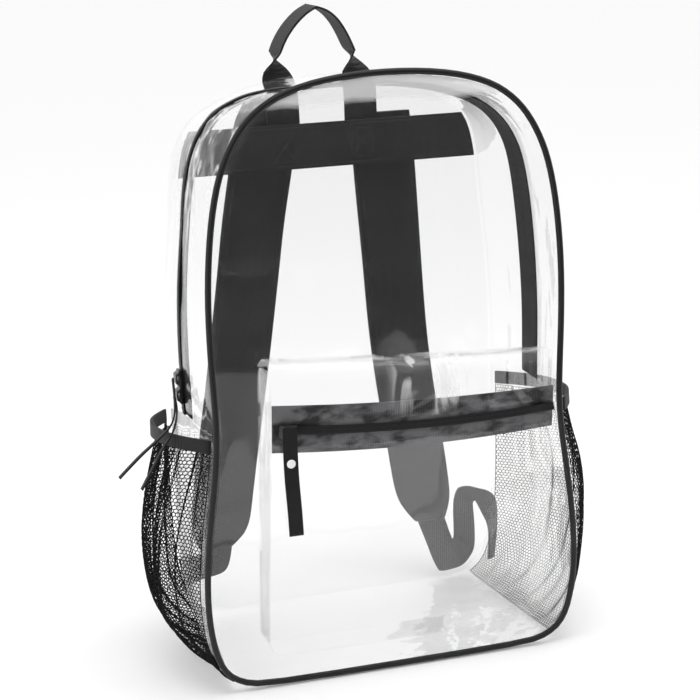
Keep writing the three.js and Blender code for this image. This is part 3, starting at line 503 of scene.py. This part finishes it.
def wave(point, period, seed, stretch=(1, 1, 1)):
    """Slow noise from -1 to 1 at a place, about one wave in a period."""
    scaled = Vector([c * s / period for c, s in zip(point, stretch)])
    return noise.noise(scaled + Vector((seed, seed * 1.7, seed * 0.6)))


def outwards(centre, normal):
    """True for a face of the shell that looks away from the bag's inside."""
    radial = Vector((centre.x, 0, centre.z - 0.216)).normalized()
    return radial.dot(normal) > 0.35


CRUMPLES = (
    # place, reach, height, direction along the folds
    (Vector((-0.128, -0.045, 0.365)), 0.04, 4.2 * MM, Vector((0.15, 0.55, 0.8))),
    (Vector((-0.112, -0.035, 0.392)), 0.035, 3.4 * MM, Vector((0.4, 0.5, 0.7))),
    (Vector((-0.135, 0.02, 0.35)), 0.035, 2.4 * MM, Vector((0.1, 0.3, 0.9))),
    (Vector((0.132, 0.0, 0.09)), 0.06, 1.6 * MM, Vector((0, 0.2, 1))),
    (Vector((-0.135, 0.02, 0.24)), 0.06, 1.2 * MM, Vector((0, 0.05, 1))),
    (Vector((0.012, -0.100, 0.221)), 0.02, 1.6 * MM, Vector((0.9, 0, 0.35))),
    (Vector((0.074, -0.100, 0.216)), 0.024, 1.4 * MM, Vector((0.7, 0, -0.7))),
    (Vector((-0.088, -0.095, 0.16)), 0.05, 0.7 * MM, Vector((0.05, 0, 1))),
)


def crumple(point):
    """Height of the folds near a few places where the sheet is bent sharply."""
    height = 0
    for middle, reach, depth, along in CRUMPLES:
        away = (point - middle).length / reach
        if away < 1.6:
            direction = along.normalized()
            across = point - direction * point.dot(direction) * 0.75
            fold = 1 - 2 * abs(noise.noise(across / 0.011))
            height += depth * fold * math.exp(-2.2 * away * away)
    return height


def vinyl_strip(node, name, material, seed):
    """A curved strip of the shell: its outside face, subdivided, rippled and given a wall."""
    vinyl = bpy.context.scene.bag_vinyl
    obj = keep_faces(copy_of(node, name), outwards)
    smooth(obj, 2)

    def height(point):
        on_floor = min(1, max(0, point.z) / 0.03)
        slow = wave(point, 0.05, seed, (1, 1, 0.3))
        slow += 0.6 * wave(point, 0.021, seed + 3, (1, 1, 0.4))
        return on_floor * (vinyl.ripple * 1.5 * slow + crumple(point))

    push(obj, height)
    smooth(obj, 1)
    modify(obj, "SOLIDIFY", thickness=vinyl.thickness, offset=-1)
    return place(obj, material, "clear_vinyl", node)


def rim_distance(obj):
    """How far a place on a flat panel is from its rim."""
    points = []
    work = bmesh.new()
    work.from_mesh(obj.data)
    for edge in work.edges:
        if edge.is_boundary:
            a, b = (v.co for v in edge.verts)
            points += [a.lerp(b, i / 8) for i in range(8)]
    work.free()
    tree = KDTree(len(points))
    for i, point in enumerate(points):
        tree.insert(point, i)
    tree.balance()
    return lambda point: tree.find(point)[2]


def vinyl_panel(node, name, material, facing, seed):
    """A flat panel: its outside face cut into a grid, rippled and given a wall. Next to
    the seam the sheet swells, which gives it a line of light there."""
    vinyl = bpy.context.scene.bag_vinyl
    obj = copy_of(node, name)
    keep_faces(obj, lambda centre, normal: normal.y * facing > 0.8)
    only(obj)
    bpy.ops.object.mode_set(mode="EDIT")
    bpy.ops.mesh.select_all(action="SELECT")
    bpy.ops.mesh.dissolve_limited(angle_limit=math.radians(1))
    low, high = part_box(node)
    for axis in (0, 2):
        cut = low[axis] + PANEL_STEP
        while cut < high[axis] - PANEL_STEP / 2:
            bpy.ops.mesh.select_all(action="SELECT")
            at, across = [0, 0, 0], [0, 0, 0]
            at[axis], across[axis] = cut, 1
            bpy.ops.mesh.bisect(plane_co=at, plane_no=across)
            cut += PANEL_STEP
    bpy.ops.object.mode_set(mode="OBJECT")
    smooth(obj, 1)

    from_rim = rim_distance(obj)

    def height(point):
        away = from_rim(point)
        slow = wave(point, 0.07, seed, (1, 1, 0.35))
        slow += 0.4 * wave(point, 0.03, seed + 5, (1, 1, 0.5))
        reach = (7 + 6 * min(1, max(0, (point.z - 0.36) / 0.05))) * MM
        swell = 0.13 * reach * (away / reach) * math.exp(1 - away / reach)
        calm = min(1, away / 0.03) * vinyl.ripple * 2.2 * slow
        return calm + swell + min(1, away / 0.006) * crumple(point)

    push(obj, height)
    modify(obj, "SOLIDIFY", thickness=vinyl.thickness, offset=-1)
    return place(obj, material, "clear_vinyl", node)


# Net


def net_columns(node):
    """The net's middle surface as columns of points, front to back, each from below up."""
    points = {}
    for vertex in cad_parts[node].data.vertices:
        key = tuple(round(c * 1e5) for c in vertex.co)
        points[key] = vertex.co.copy()
    columns = {}
    for point in points.values():
        columns.setdefault(round(point.y * 1e5), []).append(point)
    result = []
    for key in sorted(columns):
        left = columns[key]
        pairs = []
        while len(left) > 1:
            first = left.pop(0)
            twin = min(left, key=lambda p: (p - first).length)
            left.remove(twin)
            pairs.append((first + twin) / 2)
        current = min(pairs, key=lambda p: p.z)
        ordered = [current]
        pairs.remove(current)
        while pairs:
            current = min(pairs, key=lambda p: (p - current).length)
            ordered.append(current)
            pairs.remove(current)
        result.append(ordered)
    return result


def spline(points, share):
    """A point on a smooth curve through points, at a share of their number."""
    position = share * (len(points) - 1)
    i = min(int(position), len(points) - 2)
    t = position - i
    before = points[max(i - 1, 0)]
    a, b = points[i], points[i + 1]
    after = points[min(i + 2, len(points) - 1)]
    return 0.5 * (2 * a + (b - before) * t + (2 * before - 5 * a + 4 * b - after) * t ** 2
                  + (3 * a - before - 3 * b + after) * t ** 3)


def evenly(points, outs, pitch):
    """Places at an equal pitch on a smooth curve: point, way along it, way out of it."""
    samples = 12 * (len(points) - 1)
    fine = [spline(points, i / samples) for i in range(samples + 1)]
    run = [0]
    for i in range(samples):
        run.append(run[-1] + (fine[i + 1] - fine[i]).length)
    places = []
    for k in range(int(run[-1] / pitch)):
        at = (k + 0.5) * pitch
        i = min(int(np.searchsorted(run, at, "right")) - 1, samples - 1)
        share = (i + (at - run[i]) / (run[i + 1] - run[i])) / samples
        along = (fine[i + 1] - fine[i]).normalized()
        out = spline(outs, share)
        out = (out - along * out.dot(along)).normalized()
        places.append((spline(points, share), along, out))
    return places


def turned(point, first, second):
    """A matrix that lays X along the first way and Z along the second."""
    third = second.cross(first)
    return Matrix.Translation(point) @ Matrix((first, third, second)).transposed().to_4x4()


def bar(length, radius):
    """A short round bar along X with blunted ends, as a pattern for copies."""
    bpy.ops.object.select_all(action="DESELECT")
    bpy.ops.mesh.primitive_cylinder_add(vertices=6, radius=radius, depth=length)
    obj = bpy.context.object
    bpy.ops.object.mode_set(mode="EDIT")
    bpy.ops.mesh.select_all(action="SELECT")
    bpy.ops.mesh.bevel(offset=radius * 0.45, segments=1)
    bpy.ops.transform.rotate(value=math.pi / 2, orient_axis="Y", center_override=(0, 0, 0))
    bpy.ops.object.mode_set(mode="OBJECT")
    return obj


def strew(pattern, places, name):
    """One object with a copy of the pattern's mesh at each place; the pattern goes."""
    corners = np.array([v.co for v in pattern.data.vertices])
    faces = [list(f.vertices) for f in pattern.data.polygons]
    points, loops = [], []
    for matrix in places:
        start = len(points) * len(corners)
        m = np.array(matrix)
        points.append(corners @ m[:3, :3].T + m[:3, 3])
        loops.extend([[start + i for i in face] for face in faces])
    mesh = bpy.data.meshes.new(name)
    mesh.from_pydata(np.concatenate(points).tolist(), [], loops)
    bpy.data.objects.remove(pattern)
    obj = bpy.data.objects.new(name, mesh)
    bpy.context.scene.collection.objects.link(obj)
    return obj


def join(objs):
    """Joins objects into the first one."""
    only(objs[0])
    for obj in objs[1:]:
        obj.select_set(True)
    bpy.ops.object.join()
    return objs[0]


def stitches(name, rows, thread):
    """Rows of stitches: each row is points and the ways out of the cloth."""
    places = []
    for points, outs in rows:
        for point, along, out in evenly(points, outs, STITCH_PITCH):
            places.append(turned(point, along, out))
    return place(strew(bar(STITCH_LENGTH, 0.27 * MM), places, name), thread, None)


def strap_seams(node):
    """Rows of stitches along both edges of a strap, on its front and on its back."""
    sections = {}
    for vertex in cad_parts[node].data.vertices:
        sections.setdefault(round(vertex.co.z * 1e4), []).append(vertex.co.copy())
    rows = []
    for face in (-1, 1):
        for edge in (-1, 1):
            points = []
            for key in sorted(sections):
                section = sections[key]
                side = edge * max(edge * p.x for p in section)
                flat = face * max(face * p.y for p in section)
                points.append(Vector((side - edge * 4.5 * MM, flat, key * 1e-4)))
            rows.append((points, [Vector((0, face, 0))] * len(points)))
    return rows


def yoke_seams():
    """Rows along the yoke's edges and a crossed box where each leg of the loop is sewn."""
    low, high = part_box("yoke_band")
    rows = []
    for face, y in ((-1, low[1]), (1, high[1])):
        out = Vector((0, face, 0))
        for z in (low[2] + 2.5 * MM, high[2] - 2.5 * MM):
            inset = 0.012
            ends = [Vector((low[0] + inset, y, z)), Vector((high[0] - inset, y, z))]
            rows.append((ends, [out, out]))
    for centre in (-31.5 * MM, 28.75 * MM):  # of the loop's legs
        corners = [
            Vector((centre + a * 8.5 * MM, 0, (low[2] + high[2]) / 2 + b * 10.5 * MM))
            for a, b in ((-1, -1), (1, -1), (1, 1), (-1, 1))
        ]
        sides = [(corners[i], corners[(i + 1) % 4]) for i in range(4)]
        sides += [(corners[0], corners[2]), (corners[1], corners[3])]
        back = high[1] + 1.9 * MM
        for face, y in ((-1, low[1]), (1, back)):
            out = Vector((0, face, 0))
            for a, b in sides:
                rows.append(([a + Vector((0, y, 0)), b + Vector((0, y, 0))], [out, out]))
    return rows


def main_coil_line():
    """Middle of the main coil's outside and the ways out, from its left end to its right."""
    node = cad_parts["main_zipper_coil"].data
    low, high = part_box("main_zipper_coil")
    middle = (low[1] + high[1]) / 2
    near = [v.co.copy() for v in node.vertices if abs(v.co.y - middle) < 0.5 * MM]
    left = list({tuple(round(c * 1e5) for c in p): p for p in near}.values())
    # below the coil, so that the angles round it run from one end to the other
    centre = Vector((0, middle, low[2] - 0.05))
    pairs = []
    while len(left) > 1:
        first = left.pop(0)
        twin = min(left, key=lambda p: (p - first).length)
        left.remove(twin)
        outer, inner = sorted((first, twin), key=lambda p: -(p - centre).length)
        pairs.append((outer, (outer - inner).normalized()))
    pairs.sort(key=lambda pair: -math.atan2(pair[0].z - centre.z, pair[0].x))
    return [p for p, _ in pairs], [out for _, out in pairs]


def pocket_coil_line():
    """Middle of the pocket coil's front face and the ways out, from left to right."""
    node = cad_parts["pocket_zipper_coil"].data
    unique = {tuple(round(c * 1e5) for c in v.co): v.co.copy() for v in node.vertices}
    ordered = sorted(unique.values(), key=lambda p: p.x)
    points, outs = [], []
    for i in range(0, len(ordered) - 3, 4):
        front = sorted(ordered[i:i + 4], key=lambda p: p.y)[:2]
        points.append((front[0] + front[1]) / 2)
        outs.append(Vector((0, -1, 0)))
    return points, outs


def coil(node, name, line, material):
    """The CAD coil, slimmed to a core, with two rows of nylon loops on it."""
    core = push(crease_sharp(copy_of(node, name)), lambda point: -0.35 * MM)
    smooth(core, 1)
    places = []
    points, outs = line
    for row, shift in ((-1, 0), (1, 0.5)):
        for point, along, out in evenly(points, outs, TOOTH_PITCH):
            across = along.cross(out)
            at = point + across * row * 1.4 * MM + along * shift * TOOTH_PITCH - out * 0.4 * MM
            places.append(turned(at, across, out))
    return place(join([core, strew(bar(2.9 * MM, 0.5 * MM), places, name + "_loops")]), material,
                 "black_zipper", node)


# Deep gathers of a net: share along the hem, half width as a share, depth share
GATHERS = (
    (0.06, 0.05, 0.6), (0.17, 0.045, 1.0), (0.3, 0.06, 0.8), (0.42, 0.04, 1.1), (0.52, 0.05, 0.7),
    (0.64, 0.05, 1.1), (0.76, 0.05, 0.8), (0.87, 0.04, 1.0), (0.96, 0.04, 0.6),
)


def gather_depth(along, up):
    """How far a gather stands in from the net at a place."""
    depth = 0
    for middle, half, share in GATHERS:
        away = (along - middle + 0.02 * math.sin(5 * up + 9 * middle)) / half
        depth += share * math.exp(-away * away)
    return depth * (0.35 + 0.65 * abs(2 * up - 0.9) ** 0.7) * min(1, up * 6)


def side_net(node, name, side, gather, strand):
    """Six-sided cells on the net's surface, thinned to strands."""
    net = bpy.context.scene.bag_net
    columns = net_columns(node)
    rows, steps = NET_ROWS, NET_STEPS
    grid = []
    for i in range(steps + 1):
        along = i / steps
        line = []
        for j in range(rows + 1):
            up = j / rows
            point = spline([spline(column, up) for column in columns], along)
            out = Vector((side, 0, 0))
            edge = min(1, along * 14, (1 - along) * 14)
            line.append(point - out * gather_depth(along, up) * net.pleat * gather * edge)
        grid.append(line)
    # lengths along the cloth, so that the cells keep their size on the folds
    across = [0]
    for i in range(steps):
        across.append(across[-1] + (grid[i + 1][rows // 2] - grid[i][rows // 2]).length)
    upward = [0]
    for j in range(rows):
        upward.append(upward[-1] + (grid[steps // 2][j + 1] - grid[steps // 2][j]).length)

    def on_cloth(s, t):
        i = min(int(np.searchsorted(across, s, "right")) - 1, steps - 1)
        j = min(int(np.searchsorted(upward, t, "right")) - 1, rows - 1)
        i, j = max(i, 0), max(j, 0)
        u = min(1, max(0, (s - across[i]) / (across[i + 1] - across[i])))
        v = min(1, max(0, (t - upward[j]) / (upward[j + 1] - upward[j])))
        low = grid[i][j].lerp(grid[i + 1][j], u)
        return low.lerp(grid[i][j + 1].lerp(grid[i + 1][j + 1], u), v)

    cell = net.cell
    side_length = cell / math.sqrt(3)
    work = bmesh.new()
    made = {}

    def corner(s, t):
        s = min(max(s, 0), across[-1])
        t = min(max(t, 0), upward[-1])
        key = (round(s / cell * 12), round(t / cell * 12))
        if key not in made:
            made[key] = work.verts.new(on_cloth(s, t))
        return made[key]

    count_s = int(across[-1] / cell) + 1
    count_t = int(upward[-1] / (1.5 * side_length)) + 1
    for row in range(count_t):
        for column in range(count_s):
            s = (column + 0.5 * (row % 2)) * cell
            t = row * 1.5 * side_length
            ring = []
            for turn in range(6):
                angle = math.radians(60 * turn + 30)
                vertex = corner(
                    s + side_length * math.cos(angle), t + side_length * math.sin(angle))
                if vertex not in ring:
                    ring.append(vertex)
            if len(ring) > 2 and work.faces.get(ring) is None:
                try:
                    work.faces.new(ring)
                except ValueError:
                    pass
    mesh = bpy.data.meshes.new(name)
    work.to_mesh(mesh)
    work.free()
    obj = bpy.data.objects.new(name, mesh)
    bpy.context.scene.collection.objects.link(obj)
    modify(obj, "WIREFRAME", thickness=net.strand * strand, use_even_offset=False,
           use_boundary=True)
    return obj


# Operators


class BAG_OT_stage(bpy.types.Operator):
    """Pale table, soft light and the camera at the photo's angle"""
    bl_idname = "bag.stage"
    bl_label = "Stage"

    def execute(self, context):
        stage = context.scene.bag_stage
        scene = context.scene
        camera = bpy.data.objects.new("camera", bpy.data.cameras.new("camera"))
        scene.collection.objects.link(camera)
        camera.data.lens = stage.lens
        camera.data.sensor_width = 36
        camera.data.clip_start = 0.05
        yaw, pitch, roll = (math.radians(a) for a in (17.3, 14.85, -1.7))
        distance = 1.38
        target = Vector((-0.008, 0, 0.221))
        look = Vector((
            math.sin(yaw) * math.cos(pitch), math.cos(yaw) * math.cos(pitch), -math.sin(pitch)))
        right = Vector((math.cos(yaw), -math.sin(yaw), 0))
        up = right.cross(look)
        right, up = (
            math.cos(roll) * right + math.sin(roll) * up,
            -math.sin(roll) * right + math.cos(roll) * up,
        )
        turn = Matrix((right, up, -look)).transposed().to_4x4()
        camera.matrix_world = Matrix.Translation(target - look * distance) @ turn
        scene.camera = camera
        scene.view_settings.view_transform = "Standard"
        scene.cycles.transparent_max_bounces = 48
        scene.cycles.max_bounces = 16
        scene.cycles.glossy_bounces = 6

        bpy.ops.mesh.primitive_plane_add(size=1)
        table = context.object
        table.name = "table"
        bpy.ops.object.mode_set(mode="EDIT")
        width, back = 16, 14
        bpy.ops.transform.resize(
            value=(width, stage.floor_reach + back, 1), center_override=(0, 0, 0))
        bpy.ops.transform.translate(value=(0, (back - stage.floor_reach) / 2, -0.4 * MM))
        bpy.ops.object.mode_set(mode="OBJECT")
        material, tree = blank("pale_table")
        spot = add(tree, "ShaderNodeTexCoord").outputs["Object"]
        grain = add(tree, "ShaderNodeTexNoise", {"Vector": spot, "Scale": 4})
        matt = add(tree, "ShaderNodeBump", {
            "Height": grain.outputs["Fac"], "Strength": 0.05, "Distance": 0.001})
        shader = add(tree, "ShaderNodeBsdfPrincipled", {
            "Base Color": (0.96, 0.96, 0.96, 1), "Roughness": 0.7,
            "Normal": matt.outputs["Normal"]})
        output(tree, shader.outputs["BSDF"])
        table.data.materials.append(material)

        world = bpy.data.worlds.new("studio")
        scene.world = world
        world.use_nodes = True
        tree = world.node_tree
        tree.nodes.clear()
        # the room is white but for the dark side that the camera stands on
        direction = add(tree, "ShaderNodeTexCoord").outputs["Generated"]
        towards = add(tree, "ShaderNodeVectorMath", {0: direction, 1: (0.27, -0.93, -0.16)},
                      operation="DOT_PRODUCT")
        white = add(tree, "ShaderNodeMapRange", {
            "Value": towards.outputs["Value"], "From Min": 0.97, "From Max": 0.45,
            "To Min": 0.02, "To Max": 1.05}, interpolation_type="SMOOTHSTEP")
        room = add(tree, "ShaderNodeBackground", {
            "Color": (1, 1, 1, 1), "Strength": white.outputs["Result"]})
        seen = add(tree, "ShaderNodeBackground", {"Color": (1, 1, 1, 1), "Strength": 1.1})
        path = add(tree, "ShaderNodeLightPath")
        both = add(tree, "ShaderNodeMixShader", {
            0: path.outputs["Is Camera Ray"], 1: room.outputs["Background"],
            2: seen.outputs["Background"]})
        add(tree, "ShaderNodeOutputWorld", {"Surface": both.outputs["Shader"]})

        # name, place, target, width, height, power
        softboxes = (
            ("softbox_top", (0.1, -0.3, 1.6), (0, 0, 0.2), 1.1, 0.8, stage.light),
            ("softbox_left", (-1.5, -0.7, 0.8), (0, 0, 0.25), 0.07, 1.1, stage.light * 0.45),
            ("softbox_right", (1.3, -1.0, 0.9), (0, 0, 0.25), 0.06, 1.0, stage.light * 0.35),
        )
        for name, at, target_at, width, height_of, power in softboxes:
            lamp = bpy.data.lights.new(name, "AREA")
            lamp.shape = "RECTANGLE"
            lamp.size = width
            lamp.size_y = height_of
            lamp.energy = power
            holder = bpy.data.objects.new(name, lamp)
            scene.collection.objects.link(holder)
            holder.location = at
            aim = Vector(target_at) - Vector(at)
            holder.rotation_euler = aim.to_track_quat("-Z", "Y").to_euler()
            holder.visible_camera = False
        return {"FINISHED"}


class BAG_OT_shell(bpy.types.Operator):
    """Clear panels and gussets with their ripples and folds"""
    bl_idname = "bag.shell"
    bl_label = "Clear shell"

    def execute(self, context):
        panel = clear_pvc("calendered_clear_pvc", 22, 0.0007)
        # the front panel's sheet has a painted glare: milky above 0.411 m
        painted_glare_pvc = clear_pvc("calendered_clear_pvc_painted_glare", 22, 0.0007, painted_glare_height=0.411)
        # the gussets' sheet has painted highlight streaks round the left gusset's crumple
        gusset = clear_pvc(
            "folded_clear_pvc_painted_highlights", 45, 0.0018, painted_highlights=((-0.128, -0.03, 0.37), 0.03, 0.085))
        vinyl_panel("front_panel", "front_panel_sheet", painted_glare_pvc, -1, 2)
        vinyl_panel("back_panel", "back_panel_sheet", panel, 1, 7)
        vinyl_strip("gusset_front_strip", "gusset_front_sheet", gusset, 11)
        vinyl_strip("gusset_back_strip", "gusset_back_sheet", gusset, 15)
        vinyl_strip("base_gusset", "base_gusset_sheet", gusset, 19)
        seam = copy_of("back_seam", "back_seam_cord")
        smooth(seam, 1)
        place(seam, clear_pvc("welded_clear_pvc", 120, 0.001), "clear_vinyl", "back_seam")
        piping = copy_of("front_piping", "front_piping_cord")
        smooth(piping, 1)
        place(piping, piping_pvc(), "black_piping", "front_piping")
        return {"FINISHED"}


class BAG_OT_zippers(bpy.types.Operator):
    """Main zipper's tapes, coil and sliders"""
    bl_idname = "bag.zippers"
    bl_label = "Zippers"

    def execute(self, context):
        cloth = context.scene.bag_cloth
        tape = woven("woven_polyester_tape", cloth.tape_colour, 1.0 * MM, 1.4, 0.8, 0.1)
        nylon = moulded_nylon()
        metal = painted_zinc()
        for node in ("main_zipper_tape_front", "main_zipper_tape_back"):
            obj = crease_sharp(copy_of(node, node + "_cloth"))
            smooth(obj, 1)
            place(obj, tape, "black_zipper", node)
        coil("main_zipper_coil", "main_zipper_coil_teeth", main_coil_line(), nylon)
        # the pocket zipper's tapes are painted grey for the sheet's reflection over them
        painted_reflection_tape = tape_with_painted_reflection()
        for node in ("pocket_zipper_tape_upper", "pocket_zipper_tape_lower"):
            obj = crease_sharp(copy_of(node, node + "_cloth"))
            smooth(obj, 1)
            place(obj, painted_reflection_tape, "black_zipper", node)
        coil("pocket_zipper_coil", "pocket_zipper_coil_teeth", pocket_coil_line(), nylon)
        for node in ("main_slider_upper", "main_slider_lower", "pocket_slider"):
            obj = copy_of(node, node + "_body")
            modify(obj, "BEVEL", width=0.3 * MM, segments=2, limit_method="ANGLE")
            place(obj, metal, "black_metal", node)
        return {"FINISHED"}


class BAG_OT_pulls(bpy.types.Operator):
    """Ribbon pulls and the rivet"""
    bl_idname = "bag.pulls"
    bl_label = "Pulls"

    def execute(self, context):
        ribbon = woven("woven_ribbon", "#151516", 0.8 * MM, 1.0, 0.75, 0.1)
        for node, (width, line) in PULLS.items():
            obj = crease_sharp(copy_of(node, node + "_ribbon"))
            smooth(obj, 2)
            place(obj, ribbon, "black_webbing", node)
        rivet = copy_of("pull_rivet", "pull_rivet_dome")
        smooth(rivet, 2)
        place(rivet, moulded_white(), "white_rivet", "pull_rivet")
        return {"FINISHED"}


class BAG_OT_harness(bpy.types.Operator):
    """Yoke, haul loop, padded straps and their webbing"""
    bl_idname = "bag.harness"
    bl_label = "Harness"

    def execute(self, context):
        cloth = context.scene.bag_cloth
        strap_cloth = woven(
            "woven_polyester_strap", cloth.strap_colour, cloth.thread, 1.0, 0.85, 0.05)
        webbing = woven(
            "ribbed_polypropylene_webbing", cloth.webbing_colour, cloth.rib, 1.6, 0.7, 0.1)
        for side in ("left", "right"):
            node = "shoulder_strap_" + side
            obj = hold_ends(copy_of(node, node + "_pad"))
            smooth(obj, 3)
            place(obj, strap_cloth, "black_padding_cloth", node)
            node = "strap_webbing_" + side
            obj = crease_sharp(copy_of(node, node + "_band"), 40)
            smooth(obj, 2)
            place(obj, webbing, "black_webbing", node)
        obj = crease_sharp(copy_of("haul_loop", "haul_loop_band"), 40)
        smooth(obj, 2)
        place(obj, webbing, "black_webbing", "haul_loop")
        obj = copy_of("yoke_band", "yoke_band_cloth")
        modify(obj, "BEVEL", width=0.5 * MM, segments=2, limit_method="ANGLE")
        place(obj, strap_cloth, "black_webbing", "yoke_band")
        thread = spun_thread()
        for side in ("left", "right"):
            name = "shoulder_strap_" + side
            stitches(name + "_stitches", strap_seams(name), thread)
        stitches("yoke_stitches", yoke_seams(), thread)
        return {"FINISHED"}


class BAG_OT_pocket(bpy.types.Operator):
    """Clear front pocket"""
    bl_idname = "bag.pocket"
    bl_label = "Front pocket"

    def execute(self, context):
        sheet = clear_pvc("pocket_clear_pvc", 40, 0.0022)
        vinyl_panel("pocket_face_lower", "pocket_face_lower_sheet", sheet, -1, 23)
        # the upper face's sheet has painted highlight streaks round its crumple
        folded = clear_pvc(
            "pocket_clear_pvc_painted_highlights", 40, 0.0022, painted_highlights=((0.014, -0.1, 0.221), 0.012, 0.034))
        upper = crease_sharp(copy_of("pocket_face_upper", "pocket_face_upper_sheet"))
        smooth(upper, 4)
        for vertex in upper.data.vertices:
            vertex.co.y -= crumple(vertex.co)
        place(upper, folded, "clear_vinyl", "pocket_face_upper")
        obj = crease_sharp(copy_of("pocket_gusset", "pocket_gusset_sheet"))
        smooth(obj, 2)
        place(obj, sheet, "clear_vinyl", "pocket_gusset")
        return {"FINISHED"}


class BAG_OT_side_pockets(bpy.types.Operator):
    """Net side pockets with their elastic hems"""
    bl_idname = "bag.side_pockets"
    bl_label = "Side pockets"

    def execute(self, context):
        nylon = net_nylon()
        elastic = woven("knitted_elastic_hem", "#1c1c1d", 1.4 * MM, 1.0, 0.8, 0.1)
        for name, side, gather, strand in (("left", -1, 2.1, 1.7), ("right", 1, 1, 1.1)):
            node = "mesh_pocket_" + name
            place(side_net(node, node + "_net", side, gather, strand), nylon, "black_net", node)
            node = "mesh_hem_" + name
            obj = crease_sharp(copy_of(node, node + "_band"))
            smooth(obj, 2)
            place(obj, elastic, "black_elastic", node)
        return {"FINISHED"}


class BAG_PT_panel(bpy.types.Panel):
    """Lists the steps in the sidebar"""
    bl_label = "Backpack"
    bl_idname = "BAG_PT_panel"
    bl_space_type = "VIEW_3D"
    bl_region_type = "UI"
    bl_category = "Backpack"

    def draw(self, context):
        for name in STEPS:
            self.layout.operator("bag." + name)
        for group in (context.scene.bag_vinyl, context.scene.bag_cloth, context.scene.bag_net,
                      context.scene.bag_stage):
            for key in group.__annotations__:
                self.layout.prop(group, key)


SETTINGS = {
    "bag_vinyl": VinylSettings,
    "bag_cloth": ClothSettings,
    "bag_net": NetSettings,
    "bag_stage": StageSettings,
}
OPERATORS = (
    BAG_OT_stage, BAG_OT_shell, BAG_OT_zippers, BAG_OT_pulls, BAG_OT_harness, BAG_OT_pocket,
    BAG_OT_side_pockets,
)
STEPS = ("stage", "shell", "zippers", "pulls", "harness", "pocket", "side_pockets")


def register():
    for group in SETTINGS.values():
        bpy.utils.register_class(group)
    for name, group in SETTINGS.items():
        setattr(bpy.types.Scene, name, PointerProperty(type=group))
    for operator in OPERATORS:
        bpy.utils.register_class(operator)
    bpy.utils.register_class(BAG_PT_panel)


def unregister():
    bpy.utils.unregister_class(BAG_PT_panel)
    for operator in reversed(OPERATORS):
        bpy.utils.unregister_class(operator)
    for name in SETTINGS:
        delattr(bpy.types.Scene, name)
    for group in SETTINGS.values():
        bpy.utils.unregister_class(group)


def main():
    register()
    for name in STEPS:
        getattr(bpy.ops.bag, name)()


if __name__ == "__main__":
    main()
